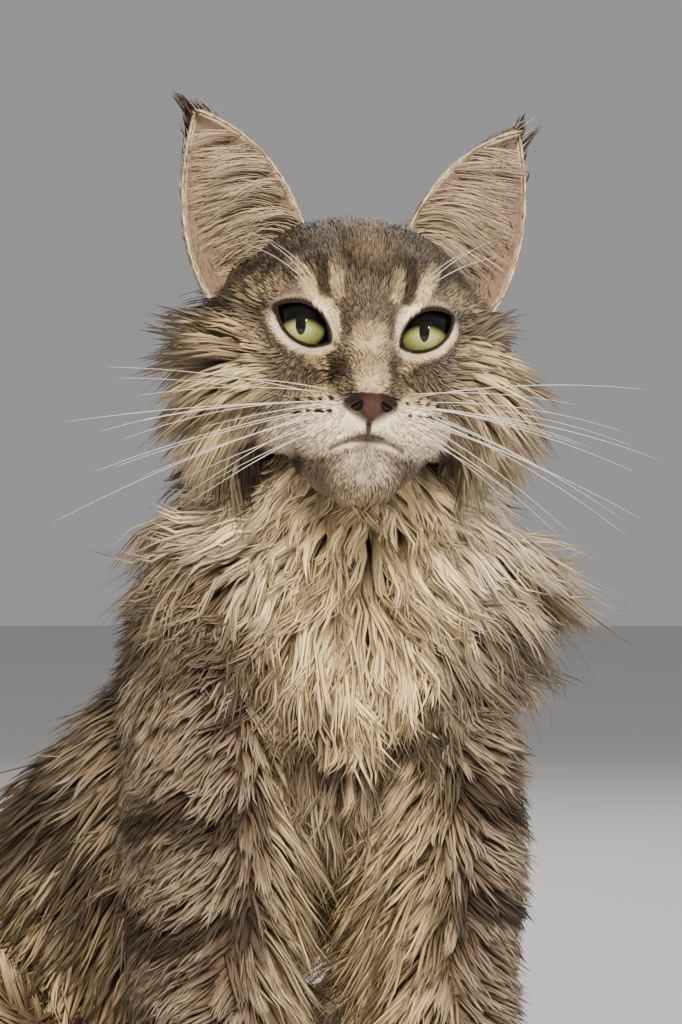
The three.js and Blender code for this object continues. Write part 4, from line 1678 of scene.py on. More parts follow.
    def limb_lie(self, limb: Limb, near: dict[str, Array], points: Array) -> Array:
        """The lie of the coat on one limb, with its pull towards the floor.

        Args:
            limb: the limb.
            near: what the limb's near gives for the places.
            points: places in the cat's millimetres.

        Returns:
            One direction for each place.
        """
        lie = near["run"].copy()
        if limb.region is Region.RUFF:
            x = points[:, 0] - self.body.chest_middle
            low = smooth(0.75, 0.2, near["share"])
            lie[:, 0] += np.clip(x / 30, -1, 1) * (1.0 - 0.55 * low)
            wing = self.wing(points)
            lie[:, 0] += np.sign(x) * 0.8 * wing
            lie[:, 2] -= (0.1 + 0.35 * low) * (1 - wing)
        elif limb.region is Region.TORSO:
            lie[:, 2] -= 0.45
        elif limb.region is Region.HAUNCH:
            side = np.array(self.body.hip_side)
            outwards = side if limb is self.body.limbs["haunch_left"] else -side
            on_top = smooth(0.0, 0.8, np.sin(np.radians(near["angle"])))
            lie = np.tile(np.array([-side[1], side[0], 0]) * 0.9 + outwards * 0.4, (len(points), 1))
            lie[:, 2] -= 0.8 - 0.55 * on_top
        elif limb.region is Region.FORELEG:
            turn = np.radians(near["angle"])
            side = np.sign(points[:, 0] - self.body.chest_middle)
            outer = smooth(-0.8, 0.0, np.cos(turn) * side) * 2 - 1
            lie[:, 0] += side * outer * 1.5
            lie[:, 1] += 0.5 * np.abs(np.cos(turn))
        return unit(lie)


@dataclass
class Strands:
    """Tufts before they become a mesh: their centre lines and what is known of each."""

    lines: Array  # tuft, place along it, x y z
    outward: Array
    width: Array
    uv: Array
    tone: Array
    facing: Array  # for each place along each tuft, the way its lock faces
    flat: float = 0.45

    @property
    def steps(self) -> int:
        """How many stretches each tuft has."""
        return self.lines.shape[1] - 1

    def on_vertices(self, numbers: Array) -> Array:
        """One number of each tuft, repeated for its vertices."""
        return np.repeat(numbers, self.steps * 3 + 1)

    def part(self, cut: slice) -> "Strands":
        """Some of the tufts."""
        rows = (self.lines, self.outward, self.width, self.uv, self.tone, self.facing)
        return Strands(*(row[cut] for row in rows), self.flat)

    def sides(self) -> Array:
        """How far each vertex lies to one side of its tuft, in millimetres before the taper.

        Returns:
            One number for each vertex.
        """
        shares = np.append(np.tile([0.0, -1.0, 1.0], self.steps), 0.0)
        return (self.width[:, None] * 0.5 * shares[None]).ravel()

    def facings(self) -> Array:
        """The way each vertex faces, for soft light: with its lock, and turned a little to its own side.

        Returns:
            One direction for each vertex.
        """
        along = unit(np.gradient(self.lines, axis=1))
        across = unit(np.cross(along, self.facing))
        turned = [unit(self.facing + across * lean) for lean in (0.0, -0.45, 0.45)]
        ring = np.stack(turned, axis=2)[:, :-1]
        count, steps = ring.shape[:2]
        return np.concatenate([ring.reshape(count, steps * 3, 3), self.facing[:, -1:]], axis=1).reshape(-1, 3)

    def mesh_arrays(self, profile: Array) -> tuple[Array, Array, Array, Array, Array]:
        """The tufts as closed three-sided blades.

        Args:
            profile: the half width at each place along a tuft before its tip, as a share of its width.

        Returns:
            Vertices, triangles, quads, map corners and each vertex's share of its tuft's length.
        """
        count, places, _ = self.lines.shape
        steps = places - 1
        along = unit(np.gradient(self.lines, axis=1))
        across = unit(np.cross(along, self.outward[:, None, :]))
        raised = np.cross(across, along)
        half = (self.width[:, None] * profile[None, :])[:, :, None] * 0.5
        rings = []
        for turn in (90, 210, 330):
            c, s = math.cos(math.radians(turn)), math.sin(math.radians(turn)) * self.flat
            rings.append(self.lines[:, :steps] + (across[:, :steps] * c + raised[:, :steps] * s) * half * 1.3)
        ring = np.stack(rings, axis=2)
        per = steps * 3 + 1
        points = np.concatenate([ring.reshape(count, steps * 3, 3), self.lines[:, -1:]], axis=1).reshape(-1, 3)
        first = (np.arange(count) * per)[:, None]
        triangles = [[2, 1, 0]]
        for i in range(3):
            triangles.append([(steps - 1) * 3 + i, (steps - 1) * 3 + (i + 1) % 3, steps * 3])
        quads = []
        for step in range(steps - 1):
            for i in range(3):
                a, b = step * 3 + i, step * 3 + (i + 1) % 3
                quads.append([a, b, b + 3, a + 3])
        tri = np.array(triangles)
        quad = np.array(quads).reshape(-1, 4)
        spots = [[0.5, 0.0], [0.33, 0.0], [0.0, 0.0]]
        for i in range(3):
            low = (steps - 1) / steps
            spots += [[i / 3, low], [(i + 1) / 3, low], [(i + 0.5) / 3, 1.0]]
        for step in range(steps - 1):
            for i in range(3):
                a, b = step / steps, (step + 1) / steps
                spots += [[i / 3, a], [(i + 1) / 3, a], [(i + 1) / 3, b], [i / 3, b]]
        spots = (np.array(spots) - 0.5) * PATCH
        tri_corners = len(triangles) * 3
        corners_tri = (self.uv[:, None] + spots[None, :tri_corners]).reshape(-1, 2)
        corners_quad = (self.uv[:, None] + spots[None, tri_corners:]).reshape(-1, 2)
        corners = np.clip(np.concatenate([corners_tri, corners_quad]), 0.0005, 0.9995)
        share = np.concatenate([np.repeat(np.arange(steps) / steps, 3), [1.0]])
        return (
            points,
            (first[:, :, None] + tri[None]).reshape(-1, 3),
            (first[:, :, None] + quad[None]).reshape(-1, 4),
            corners,
            np.tile(share, count),
        )


@dataclass
class Coat:
    """The coat over the skin, lock by lock."""

    shop: Workshop
    skin: bpy.types.Object
    coat: CoatField
    markings: Markings
    seed: int = 11
    guide_steps: int = 8

    def __post_init__(self) -> None:
        """Reads the skin's triangles once."""
        mesh = self.skin.data
        self.corners = self.shop.fetch(mesh.polygons, "vertices", 3, np.int32)
        self.points = self.shop.to_cat(self.shop.coordinates(self.skin))
        self.facing = self.shop.fetch(mesh.vertex_normals, "vector", 3).astype(float)
        self.uv = self.shop.fetch(mesh.uv_layers["OFBake"].data, "uv", 2).reshape(-1, 3, 2)
        a, b, c = (self.points[self.corners[:, i]] for i in range(3))
        self.middles = (a + b + c) / 3
        self.areas = np.linalg.norm(np.cross(b - a, c - a), axis=1) / 2
        self.tree = BVHTree.FromPolygons(self.points.tolist(), self.corners.tolist())
        self.rng = np.random.default_rng(self.seed)

    def roots(self, density: Array) -> dict[str, Array]:
        """Places where tufts grow.

        Args:
            density: tufts to a square millimetre, for each of the skin's triangles.

        Returns:
            The places, the skin's direction there and their places on the map.
        """
        wanted = density * self.areas
        total = int(wanted.sum())
        picks = np.searchsorted(np.cumsum(wanted) / wanted.sum(), self.rng.random(total))
        picks = np.minimum(picks, len(wanted) - 1)
        u, v = self.rng.random(total), self.rng.random(total)
        over = u + v > 1
        u[over], v[over] = 1 - u[over], 1 - v[over]
        share = np.stack([1 - u - v, u, v], axis=1)[:, :, None]
        tri = self.corners[picks]
        return {
            "place": np.sum(self.points[tri] * share, axis=1),
            "outward": unit(np.sum(self.facing[tri] * share, axis=1)),
            "uv": np.sum(self.uv[picks] * share, axis=1),
        }

    def on_map(self, places: Array) -> Array:
        """The skin's map nearest to some places, in the cat's millimetres.

        Args:
            places: the places.

        Returns:
            One point of the map for each place.
        """
        found = np.empty((len(places), 2))
        for i, place in enumerate(places):
            at, _, face, _ = self.tree.find_nearest(place)
            a, b, c = (Vector(self.points[k]) for k in self.corners[face])
            share = np.array(poly_3d_calc([a, b, c], at))
            found[i] = share @ self.uv[face]
        return found

    def guides(self, root: Array, outward: Array, field_: dict, length: Array) -> Array:
        """The middle line of each lock, bent along its lie and kept out of the body.

        Args:
            root: places on the skin.
            outward: the skin's direction there.
            field_: the coat's fields there.
            length: the locks' lengths.

        Returns:
            Lines of guide_steps + 1 places.
        """
        count = len(root)
        stir = columns(*(noise(root, 16, 20 + i) - 0.5 for i in range(3))) * 0.9
        stir += (self.rng.random((count, 3)) - 0.5) * 0.55
        lie = field_["lie"] + stir * smooth(4, 30, length)[:, None]
        down = np.array([0, 0, -1.0])
        lie = lie - outward * dots(lie, outward)
        weak = smooth(0.8, 0.4, np.linalg.norm(lie, axis=1))[:, None]  # where it would run into the skin
        lie = unit(lie + (down - outward * dots(outward, down)) * weak)
        lift = (field_["lift"] * (0.75 + 0.5 * self.rng.random(count)))[:, None]
        heading = unit(lie + outward * lift)
        stride = (length / self.guide_steps)[:, None]
        line = [root - outward * np.minimum(1.0, length * 0.1)[:, None]]
        phase = self.rng.random(count) * 2 * np.pi
        turns = 1.1 + 0.9 * self.rng.random(count)
        sway = (field_["wave"] * length)[:, None]
        across = unit(np.cross(lie, outward))
        for _ in range(self.guide_steps):
            line.append(line[-1] + heading * stride)
            heading = unit(heading + lie * 0.045 + down * (field_["droop"] * 0.45)[:, None])
        lines = np.stack(line, axis=1)
        share = np.linspace(0, 1, self.guide_steps + 1)
        wave = np.sin(phase[:, None] + share[None] * turns[:, None] * 2 * np.pi) - np.sin(phase)[:, None]
        lines += across[:, None, :] * (wave * share[None] ** 0.7)[:, :, None] * sway[:, None]
        rise = np.cos(phase[:, None] + share[None] * turns[:, None] * 2 * np.pi) - np.cos(phase)[:, None]
        lines += outward[:, None, :] * (rise * share[None] ** 0.7)[:, :, None] * sway[:, None] * 0.5
        return self.kept_out(lines, length)

    def kept_out(self, lines: Array, length: Array) -> Array:
        """Lines with each place moved out of the body and above the floor.

        Args:
            lines: places along each line.
            length: each line's length.

        Returns:
            The moved lines.
        """
        flat = lines.reshape(-1, 3)
        steps = lines.shape[1]
        for i in range(len(flat)):
            step = i % steps
            if step == 0:
                continue
            room = min(3.0 + 1.2 * step, 0.06 * length[i // steps] * step) * 0.5
            at, facing, _, apart = self.tree.find_nearest(flat[i], SEARCH)
            if at is None:
                continue
            inside = (Vector(flat[i]) - at).dot(facing) < 0
            if inside or apart < room:
                flat[i] = at + facing * room
        for _ in range(2):
            lines[:, 1:-1] = lines[:, :-2] * 0.25 + lines[:, 1:-1] * 0.5 + lines[:, 2:] * 0.25
        lines[:, :, 2] = np.maximum(lines[:, :, 2], LOWEST)
        return lines

    def tufts(self, places: dict[str, Array], style: CoatStyle) -> Strands:
        """The tufts of some roots, gathered into locks.

        Args:
            places: roots, as roots() gives them.
            style: how the region's coat grows.

        Returns:
            The tufts.
        """
        root, outward = places["place"], places["outward"]
        count, steps = len(root), style.steps
        f = self.coat.read(root)
        chance = 1 / np.maximum(f["lock"] ** 2 * f["density"], 1.5)
        chosen = np.flatnonzero(self.rng.random(count) < chance)
        if len(chosen) < 2:
            chosen = np.arange(min(count, 2))
        length = f["length"] * (0.82 + 0.36 * self.rng.random(count))
        subset = {k: f[k][chosen] for k in ("lie", "lift", "droop", "wave")}
        lead_length = length[chosen] * 1.05
        lines = self.guides(root[chosen], outward[chosen], subset, lead_length)
        squat = np.array([style.broad**-0.5, style.broad**-0.5, style.broad**0.5])
        tree = KDTree(len(chosen))
        apart = root + outward * WALL_GAP  # so that both walls of a groove keep to their own locks
        for i, place in enumerate(apart[chosen] * squat):
            tree.insert(place, i)
        tree.balance()
        jitter = self.rng.normal(size=(count, 3)) * (f["lock"] * 0.16)[:, None]
        lead = np.array([tree.find(place)[1] for place in (apart + jitter) * squat])
        share = np.linspace(0, 1, steps + 1)
        scale = np.clip(length / lead_length[lead], 0.5, 1.25)
        at = np.clip(share[None] * scale[:, None], 0, 1) * self.guide_steps
        low = np.minimum(at.astype(int), self.guide_steps - 1)
        part = (at - low)[:, :, None]
        picked = lines[lead]
        rows = np.arange(count)[:, None]
        guide = picked[rows, low] * (1 - part) + picked[rows, low + 1] * part
        own = root[:, None] + guide - picked[:, :1]
        gather = f["gather"] * (0.55 + 0.45 * self.rng.random(count))
        stray = self.rng.random(count) < 0.08
        gather[stray] *= 0.25
        pull = (gather[:, None] * share[None] ** 1.2)[:, :, None]
        made = own * (1 - pull) + guide * pull
        wander = self.rng.normal(size=(count, 1, 3)) * (length * np.where(stray, 0.11, 0.045))[:, None, None]
        made += wander * (share[None, :, None] ** 1.6)
        made[:, :, 2] = np.maximum(made[:, :, 2], LOWEST)
        width = f["width"] * (0.45 + 1.0 * self.rng.random(count))
        width[stray] *= 0.5
        aside = (root - root[chosen][lead]) * squat / (f["lock"] * 0.55)[:, None]
        aside /= np.maximum(np.linalg.norm(aside, axis=1, keepdims=True), 1)
        edge = np.sum(aside**2, axis=1)
        # The tone varies at random by tuft and by lock, and holds painted shade: darker in bands, for the gaps between
        # rows of locks, and towards each lock's edge.
        rows = smooth(0.25, 0.75, noise(root * (1, 1, 1.6), 12, 6))
        tone = 0.2 * self.rng.random(count) + 0.4 * hashed(chosen[lead][:, None].repeat(3, 1), 4) + 0.4 * rows
        tone -= 0.25 * (edge - 0.4)
        tone = 0.5 + (tone - 0.5) * mixed(0.4, 1.0, smooth(6, 25, length))
        facing = unit(outward + aside * 0.75)[:, None].repeat(steps + 1, 1)
        return Strands(made, outward, width, places["uv"], tone, facing)

    def piece(self, name: str, strands: Strands) -> bpy.types.Object:
        """A coat piece from tufts, with its markings kept on its vertices.

        Args:
            name: the piece's name.
            strands: the tufts.

        Returns:
            The mesh.
        """
        full = {2: [0.9, 0.9], 3: [0.8, 1.0, 0.66], 4: [0.7, 1.0, 0.86, 0.5], 5: [0.7, 1.0, 0.95, 0.72, 0.4]}
        profile = np.array(full[strands.steps])
        points, triangles, quads, corners, share = strands.mesh_arrays(profile)
        marked = self.marks(strands)
        length = np.linalg.norm(strands.lines[:, -1] - strands.lines[:, 0], axis=1)
        short = strands.on_vertices(smooth(20, 5, length))
        values = {key: strands.on_vertices(numbers) for key, numbers in marked.items()}
        values |= {"along": 1 - (1 - share) * (1 - 0.5 * short), "side": strands.sides(), "facing": strands.facings()}
        return self.shop.from_arrays(name, points, triangles, quads, corners, values)

    def marks(self, strands: Strands) -> dict[str, Array]:
        """The markings of each tuft, taken where most of it shows.

        Args:
            strands: the tufts.

        Returns:
            The numbers of each tuft, by name.
        """
        middle = strands.lines[:, -1] * 0.45 + strands.lines[:, 0] * 0.55
        read = self.markings.read(middle, self.coat.read(middle))
        return {key: read[key] for key in MARKS} | {"tone": strands.tone}

    def build(self) -> list[bpy.types.Object]:
        """Grows the whole coat.

        Returns:
            The coat's pieces, each under the limit of triangles.
        """
        f = self.coat.read(self.middles)
        names = list(f["weights"])
        owner = np.argmax(np.stack([f["weights"][n] for n in names]), axis=0)
        regions = {n: (Region.HEAD if n == "head" else self.coat.body.limbs[n].region) for n in names}
        pieces = []
        p = f["local"]
        gap, _ = self.markings.beside_eye(p)
        clear = smooth(2.0, 3.0, gap) * np.maximum(smooth(0.9, 1.7, self.markings.beside_mouth(p)), p[:, 1] > -30)
        clear *= 1 - 0.8 * self.markings.whisker_spots(p) * (p[:, 1] < -30)
        nose = smooth(0.85, 1.05, np.hypot(p[:, 0] / 9.4, (p[:, 2] + 30.5) / 6.2)) + (p[:, 1] > -60)
        clear *= np.clip(nose, 0, 1)
        ear_inside = f["is_ear"] * (self.head_facing() < 0.15)
        for region in Region:
            mine = np.isin(owner, [i for i, n in enumerate(names) if regions[n] is region])
            if not mine.any():
                continue
            style = STYLES[region]
            density = np.where(mine, f["density"], 0.0) * clear
            density *= 1 - 0.93 * ear_inside
            if region is Region.HEAD:
                density *= mixed(1.0, 0.6, smooth(8, 24, f["length"])) * mixed(1.0, 0.9, f["is_ear"])
                density *= mixed(0.6, 1.7, smooth(10, -24, p[:, 1]) * smooth(-66, -54, p[:, 2]))
            places = self.roots(density)
            per = 6 * (style.steps - 1) + 4
            count = len(places["place"])
            order = np.argsort(places["place"][:, 2])
            strands = self.tufts({k: v[order] for k, v in places.items()}, style)
            parts = math.ceil(count / (PIECE_LIMIT // per))
            for i in range(parts):
                cut = slice(i * count // parts, (i + 1) * count // parts)
                pieces.append(self.piece(f"coat_{region.value}_{i + 1}", strands.part(cut)))
            log.info("coat on %s: %d tufts, %d triangles", region.value, count, count * per)
        return pieces

    def head_facing(self) -> Array:
        """How far each triangle of the skin faces the back of the head, from -1 to 1."""
        mean = np.mean(self.facing[self.corners], axis=1)
        return (mean @ self.coat.head.rotation)[:, 1]


# Finishes


class Value:
    """A number that varies over a surface, for shader maths written as plain expressions."""

    def __init__(self, paint: "Paint", socket: bpy.types.NodeSocket) -> None:
        """Wraps an output of a node."""
        self.paint, self.socket = paint, socket

    def _with(self, operation: str, a: object, b: object) -> "Value":
        """Adds a Math node."""
        return Value(self.paint, self.paint.node("ShaderNodeMath", {"operation": operation}, {0: a, 1: b}).outputs[0])

    def __add__(self, other: object) -> "Value":
        """The sum."""
        return self._with("ADD", self, other)

    def __radd__(self, other: object) -> "Value":
        """The sum, with this one second."""
        return self._with("ADD", other, self)

    def __sub__(self, other: object) -> "Value":
        """The difference."""
        return self._with("SUBTRACT", self, other)

    def __rsub__(self, other: object) -> "Value":
        """The difference from another."""
        return self._with("SUBTRACT", other, self)

    def __mul__(self, other: object) -> "Value":
        """The product."""
        return self._with("MULTIPLY", self, other)

    def __rmul__(self, other: object) -> "Value":
        """The product, with this one second."""
        return self._with("MULTIPLY", other, self)

    def __truediv__(self, other: object) -> "Value":
        """The quotient."""
        return self._with("DIVIDE", self, other)

    def __pow__(self, other: object) -> "Value":
        """The power."""
        return self._with("POWER", self, other)

    def ramp(self, low: float, high: float) -> "Value":
        """A soft step from 0 at low to 1 at high.

        Args:
            low: where the step starts.
            high: where it ends.

        Returns:
            The step's value.
        """
        settings = {"interpolation_type": "SMOOTHSTEP"}
        node = self.paint.node("ShaderNodeMapRange", settings, {0: self, 1: low, 2: high, 3: 0.0, 4: 1.0})
        return Value(self.paint, node.outputs[0])


class Paint:
    """A material whose nodes are added one method call at a time."""

    def __init__(self, name: str) -> None:
        """Starts a material with one Principled shader.

        Args:
            name: the material's name.
        """
        self.material = bpy.data.materials.new(name)
        self.material.use_nodes = True
        self.tree = self.material.node_tree
        self.shader = next(n for n in self.tree.nodes if n.type == "BSDF_PRINCIPLED")

    def node(self, kind: str, settings: Optional[dict] = None, inputs: Optional[dict] = None) -> bpy.types.Node:
        """Adds a node.

        Args:
            kind: the node's type.
            settings: its settings, set first.
            inputs: a number, colour, Value or socket for each input, by name or place.

        Returns:
            The node.
        """
        node = self.tree.nodes.new(kind)
        for key, value in (settings or {}).items():
            setattr(node, key, value)
        for key, value in (inputs or {}).items():
            self.feed(node.inputs[key], value)
        return node

    def feed(self, socket: bpy.types.NodeSocket, value: object) -> None:
        """Links a Value or socket to an input, or sets its number or colour.

        Args:
            socket: the input.
            value: what goes into it.
        """
        if isinstance(value, Value):
            value = value.socket
        if isinstance(value, bpy.types.NodeSocket):
            self.tree.links.new(value, socket)
        else:
            socket.default_value = value

    def attribute(self, name: str) -> Value:
        """A number kept on the mesh."""
        return Value(self, self.node("ShaderNodeAttribute", {"attribute_name": name}).outputs["Fac"])

    def speckle(self, scale: float, detail: float = 2.0, stretch: Sequence[float] = (1, 1, 1)) -> Value:
        """Noise from 0 to 1 over the object's own places.

        Args:
            scale: how fine it is.
            detail: how many finer layers it has.
            stretch: a factor for each axis.

        Returns:
            The noise.
        """
        place = self.node("ShaderNodeTexCoord").outputs["Object"]
        place = self.node("ShaderNodeMapping", {}, {"Vector": place, "Scale": tuple(stretch)}).outputs[0]
        node = self.node("ShaderNodeTexNoise", {}, {"Vector": place, "Scale": scale, "Detail": detail})
        return Value(self, node.outputs["Fac"])

    def mix(self, share: object, a: object, b: object, kind: str = "MIX") -> bpy.types.NodeSocket:
        """Colour a turned into colour b by a share.

        Args:
            share: how much of b counts.
            a: the first colour.
            b: the other.
            kind: how they are blended.

        Returns:
            The colour.
        """
        settings = {"data_type": "RGBA", "blend_type": kind}
        node = self.node("ShaderNodeMix", settings)
        self.feed(node.inputs[0], share)
        self.feed(node.inputs[6], a)
        self.feed(node.inputs[7], b)
        return node.outputs[2]

    def finish(self, **inputs: object) -> bpy.types.Material:
        """Feeds the shader's inputs, named with underscores for spaces, and gives the material.

        Args:
            **inputs: its settings, by name.

        Returns:
            The material.
        """
        for key, value in inputs.items():
            self.feed(self.shader.inputs[key.replace("_", " ")], value)
        return self.material

    def bump(
        self, height: Value, strength: float, distance: float, normal: Optional[bpy.types.NodeSocket] = None
    ) -> bpy.types.NodeSocket:
        """A surface direction bent by a height, from the mesh's own or from another.

        Args:
            height: the height.
            strength: how much it counts, from 0 to 1.
            distance: how tall it is, in metres.
            normal: the direction to bend, if not the mesh's own.

        Returns:
            The direction.
        """
        inputs = {"Height": height, "Strength": strength, "Distance": distance}
        if normal is not None:
            inputs["Normal"] = normal
        return self.node("ShaderNodeBump", {}, inputs).outputs[0]

    def softened(self, name: str, share: float) -> bpy.types.NodeSocket:
        """The surface's direction turned by a share towards one kept on the mesh.

        Args:
            name: the name of the kept direction.
            share: how much of it counts.

        Returns:
            The direction.
        """
        kept = self.node("ShaderNodeAttribute", {"attribute_name": name}).outputs["Vector"]
        own = self.node("ShaderNodeNewGeometry").outputs["Normal"]
        near = self.node("ShaderNodeVectorMath", {"operation": "SCALE"}, {0: kept, "Scale": share}).outputs[0]
        rest = self.node("ShaderNodeVectorMath", {"operation": "SCALE"}, {0: own, "Scale": 1 - share}).outputs[0]
        total = self.node("ShaderNodeVectorMath", {"operation": "ADD"}, {0: near, 1: rest}).outputs[0]
        return self.node("ShaderNodeVectorMath", {"operation": "NORMALIZE"}, {0: total}).outputs[0]


@dataclass(frozen=True)
class CoatFinish:
    """The colours of the coat, the same on the skin and on the tufts, with painted shade at the roots and in the gaps
    between locks.
    """

    taupe: str = "#6a5f54"
    cream: str = "#f3dba8"
    white: str = "#f7e5ca"
    tip: str = "#c2b195"
    dark: str = "#231c17"
    # Brown-grey bare ear skin, partly painted shade in the ear's cup.
    ear_skin_and_shade: str = "#8d7567"
    # Dark brown: the undercoat's own colour at the roots, and painted shade deep in the coat and between locks.
    undercoat_and_shade: str = "#4f4034"

    def material(self, name: str, over_skin: bool) -> bpy.types.Material:
        """The coat's material.

        Args:
            name: the material's name.
            over_skin: whether it is for the tufts, and not for the skin under them.

        Returns:
            The material.
        """
        paint = Paint(name)
        along, cream, dark, white, ear = (paint.attribute(k) for k in ("along", "cream", "dark", "white", "ear"))
        colour = paint.mix(cream, to_linear(self.taupe), to_linear(self.cream))
        colour = paint.mix(white * 0.9, colour, to_linear(self.white))
        # The roots turn towards the dark brown: partly the hair's own undercoat, partly painted shade deep in the coat.
        root = (1 - along.ramp(0.0, 0.6)) * (0.85 - white * 0.7)
        colour = paint.mix(root, colour, to_linear(self.undercoat_and_shade))
        colour = paint.mix(along.ramp(0.55, 1.0) * (1 - white) * (1 - cream) * 0.55, colour, to_linear(self.tip))
        colour = paint.mix(dark, colour, to_linear(self.dark))
        if over_skin:
            tone, side = paint.attribute("tone"), paint.attribute("side")
            inputs = {0: side * 1.9, 1: along * 0.9, 2: tone * 61.0}
            strand = paint.node("ShaderNodeCombineXYZ", {}, inputs).outputs[0]
            lines = paint.node("ShaderNodeTexNoise", {}, {"Vector": strand, "Scale": 1.7, "Detail": 1.5}).outputs["Fac"]
            lines = Value(paint, lines)
            shade = tone * 0.5 + (lines - 0.5) * 0.6 + 0.78
            # Painted shade: tufts of low tone, at lock edges and in the darker bands, turn towards the dark brown, for
            # the shadowed gaps between locks.
            low = (1 - tone.ramp(0.1, 0.55)) * (1 - white) * (1 - along.ramp(0.5, 1.1) * 0.6)
            colour = paint.mix(low * 0.7, colour, to_linear(self.undercoat_and_shade))
            normal = paint.bump(lines, 0.5, 0.0006, paint.softened("facing", 0.72))
        else:
            # The bare ear skin, in a brown-grey that is partly painted shade in the cup.
            colour = paint.mix(ear * 0.9, colour, to_linear(self.ear_skin_and_shade))
            shade = paint.speckle(260.0) * 0.3 + 0.85
            normal = paint.bump(paint.speckle(900.0, 3.0, (1, 1, 0.35)), 0.5, 0.0006)
        grey = paint.node("ShaderNodeCombineColor", {}, {0: shade, 1: shade, 2: shade}).outputs[0]
        colour = paint.mix(1.0, colour, grey, "MULTIPLY")
        paint.shader.inputs["Specular IOR Level"].default_value = 0.25
        return paint.finish(Base_Color=colour, Roughness=0.6, Normal=normal)


@dataclass(frozen=True)
class NoseFinish:
    """Brick-pink leather, darker at its rim and with painted shade deep in its nostrils, with fine pebbling."""

    middle: str = "#3c221b"
    rim: str = "#1b110e"

    def material(self) -> bpy.types.Material:
        """The nose leather's material.

        Returns:
            The material.
        """
        paint = Paint("nose_leather")
        rim = paint.attribute("rim")
        colour = paint.mix(rim, to_linear(self.middle), to_linear(self.rim))
        grain = paint.speckle(1400.0, 2.0)
        place = paint.node("ShaderNodeTexCoord").outputs["Object"]
        cells = paint.node("ShaderNodeTexVoronoi", {}, {"Vector": place, "Scale": 1500.0}).outputs["Distance"]
        normal = paint.bump(Value(paint, cells), 0.6, 0.0003)
        rough = grain * 0.2 + 0.3
        return paint.finish(Base_Color=colour, Roughness=rough, Normal=normal)


@dataclass(frozen=True)
class EyeFinish:
    """A green-gold iris with a dark edge and painted shadow over its upper part, an upright pupil and a wet surface."""

    iris: str = "#868d4f"
    inner: str = "#a2a86c"
    shade: str = "#454b2a"
    # Near black: the iris's dark edge, and the painted shadow of the upper lid and brow.
    edge: str = "#060504"

    def material(self) -> bpy.types.Material:
        """The eye's material, drawn round its gaze on the map named gaze.

        Returns:
            The material.
        """
        paint = Paint("eye")
        flat = paint.node("ShaderNodeUVMap", {"uv_map": "gaze"}).outputs[0]
        parts = paint.node("ShaderNodeSeparateXYZ", {}, {0: flat})
        x = Value(paint, parts.outputs[0]) - 0.5
        y = Value(paint, parts.outputs[1]) - 0.5
        radius = (x * x + y * y) ** 0.5
        angle = paint.node("ShaderNodeMath", {"operation": "ARCTAN2"}, {0: y, 1: x}).outputs[0]
        spoke = paint.node("ShaderNodeCombineXYZ", {}, {0: Value(paint, angle) * 14.0, 1: radius * 9.0}).outputs[0]
        rays = paint.node("ShaderNodeTexNoise", {}, {"Vector": spoke, "Scale": 1.0, "Detail": 3.0}).outputs["Fac"]
        colour = paint.mix(radius.ramp(0.3, 0.1), to_linear(self.iris), to_linear(self.inner))
        colour = paint.mix(Value(paint, rays).ramp(0.4, 0.75) * 0.45, colour, to_linear(self.shade))
        # Painted shadow of the upper lid and brow: above an arch that follows the lid, the iris turns near black.
        brow = y + x * x * 0.9
        colour = paint.mix(brow.ramp(-0.05, 0.12), colour, to_linear(self.edge))
        colour = paint.mix(radius.ramp(0.34, 0.42), colour, to_linear(self.edge))
        slit = ((x / 0.085) ** 2.0 + (y / 0.17) ** 2.0) ** 0.5
        colour = paint.mix(1 - slit.ramp(0.92, 1.06), colour, (0.003, 0.003, 0.003, 1))
        shader = paint.shader.inputs
        shader["Coat Weight"].default_value = 0.5
        shader["Coat Roughness"].default_value = 0.03
        shader["Specular IOR Level"].default_value = 0.1
        return paint.finish(Base_Color=colour, Roughness=0.4)


@dataclass(frozen=True)
class HornFinish:
    """Pale horn, for whiskers and claws."""

    name: str
    colour: str
    roughness: float

    def material(self) -> bpy.types.Material:
        """The horn's material.

        Returns:
            The material.
        """
        paint = Paint(self.name)
        cloud = paint.speckle(300.0)
        light = to_linear(self.colour)
        duller = tuple(c * 0.8 for c in light[:3]) + (1.0,)
        return paint.finish(Base_Color=paint.mix(cloud, duller, light), Roughness=self.roughness)


# The claws, eyes, nose, whiskers and the ears' hair


@dataclass
class Claws:
    """The tips of the claws, drawn in among the hair of each toe."""

    shop: Workshop
    body: Build
    length: float = 5.5
    thick: float = 1.2

    def build(self) -> bpy.types.Object:
        """Makes every claw's tip, bent down and tapered to a point.

        Returns:
            The closed mesh.
        """
        pieces = []
        for at, across, heading, _ in self.body.toes():
            root = at + heading * 10.5 + np.array([0, 0, 2.0])

            def claw(points: Array, root: Array = root, across: Array = across, heading: Array = heading) -> Array:
                """A claw's form.

                Args:
                    points: places on a ball of radius 1.
                    root: where the claw leaves the toe.
                    across: the way across the foot.
                    heading: the foot's heading.

                Returns:
                    Places in the cat's millimetres.
                """
                share = (points[:, 2:] + 1) / 2
                thick = self.thick * (1 - 0.75 * share)
                middle = root + heading * share * self.length - np.array([0, 0, 3.4]) * share**2
                return middle + across * points[:, :1] * thick + np.array([0, 0, 1.3]) * points[:, 1:2] * thick

            pieces.append(self.shop.ball("claw", 12, 10, claw))
        claws = self.shop.join("claws", pieces)
        self.shop.shade_smooth(claws)
        return claws


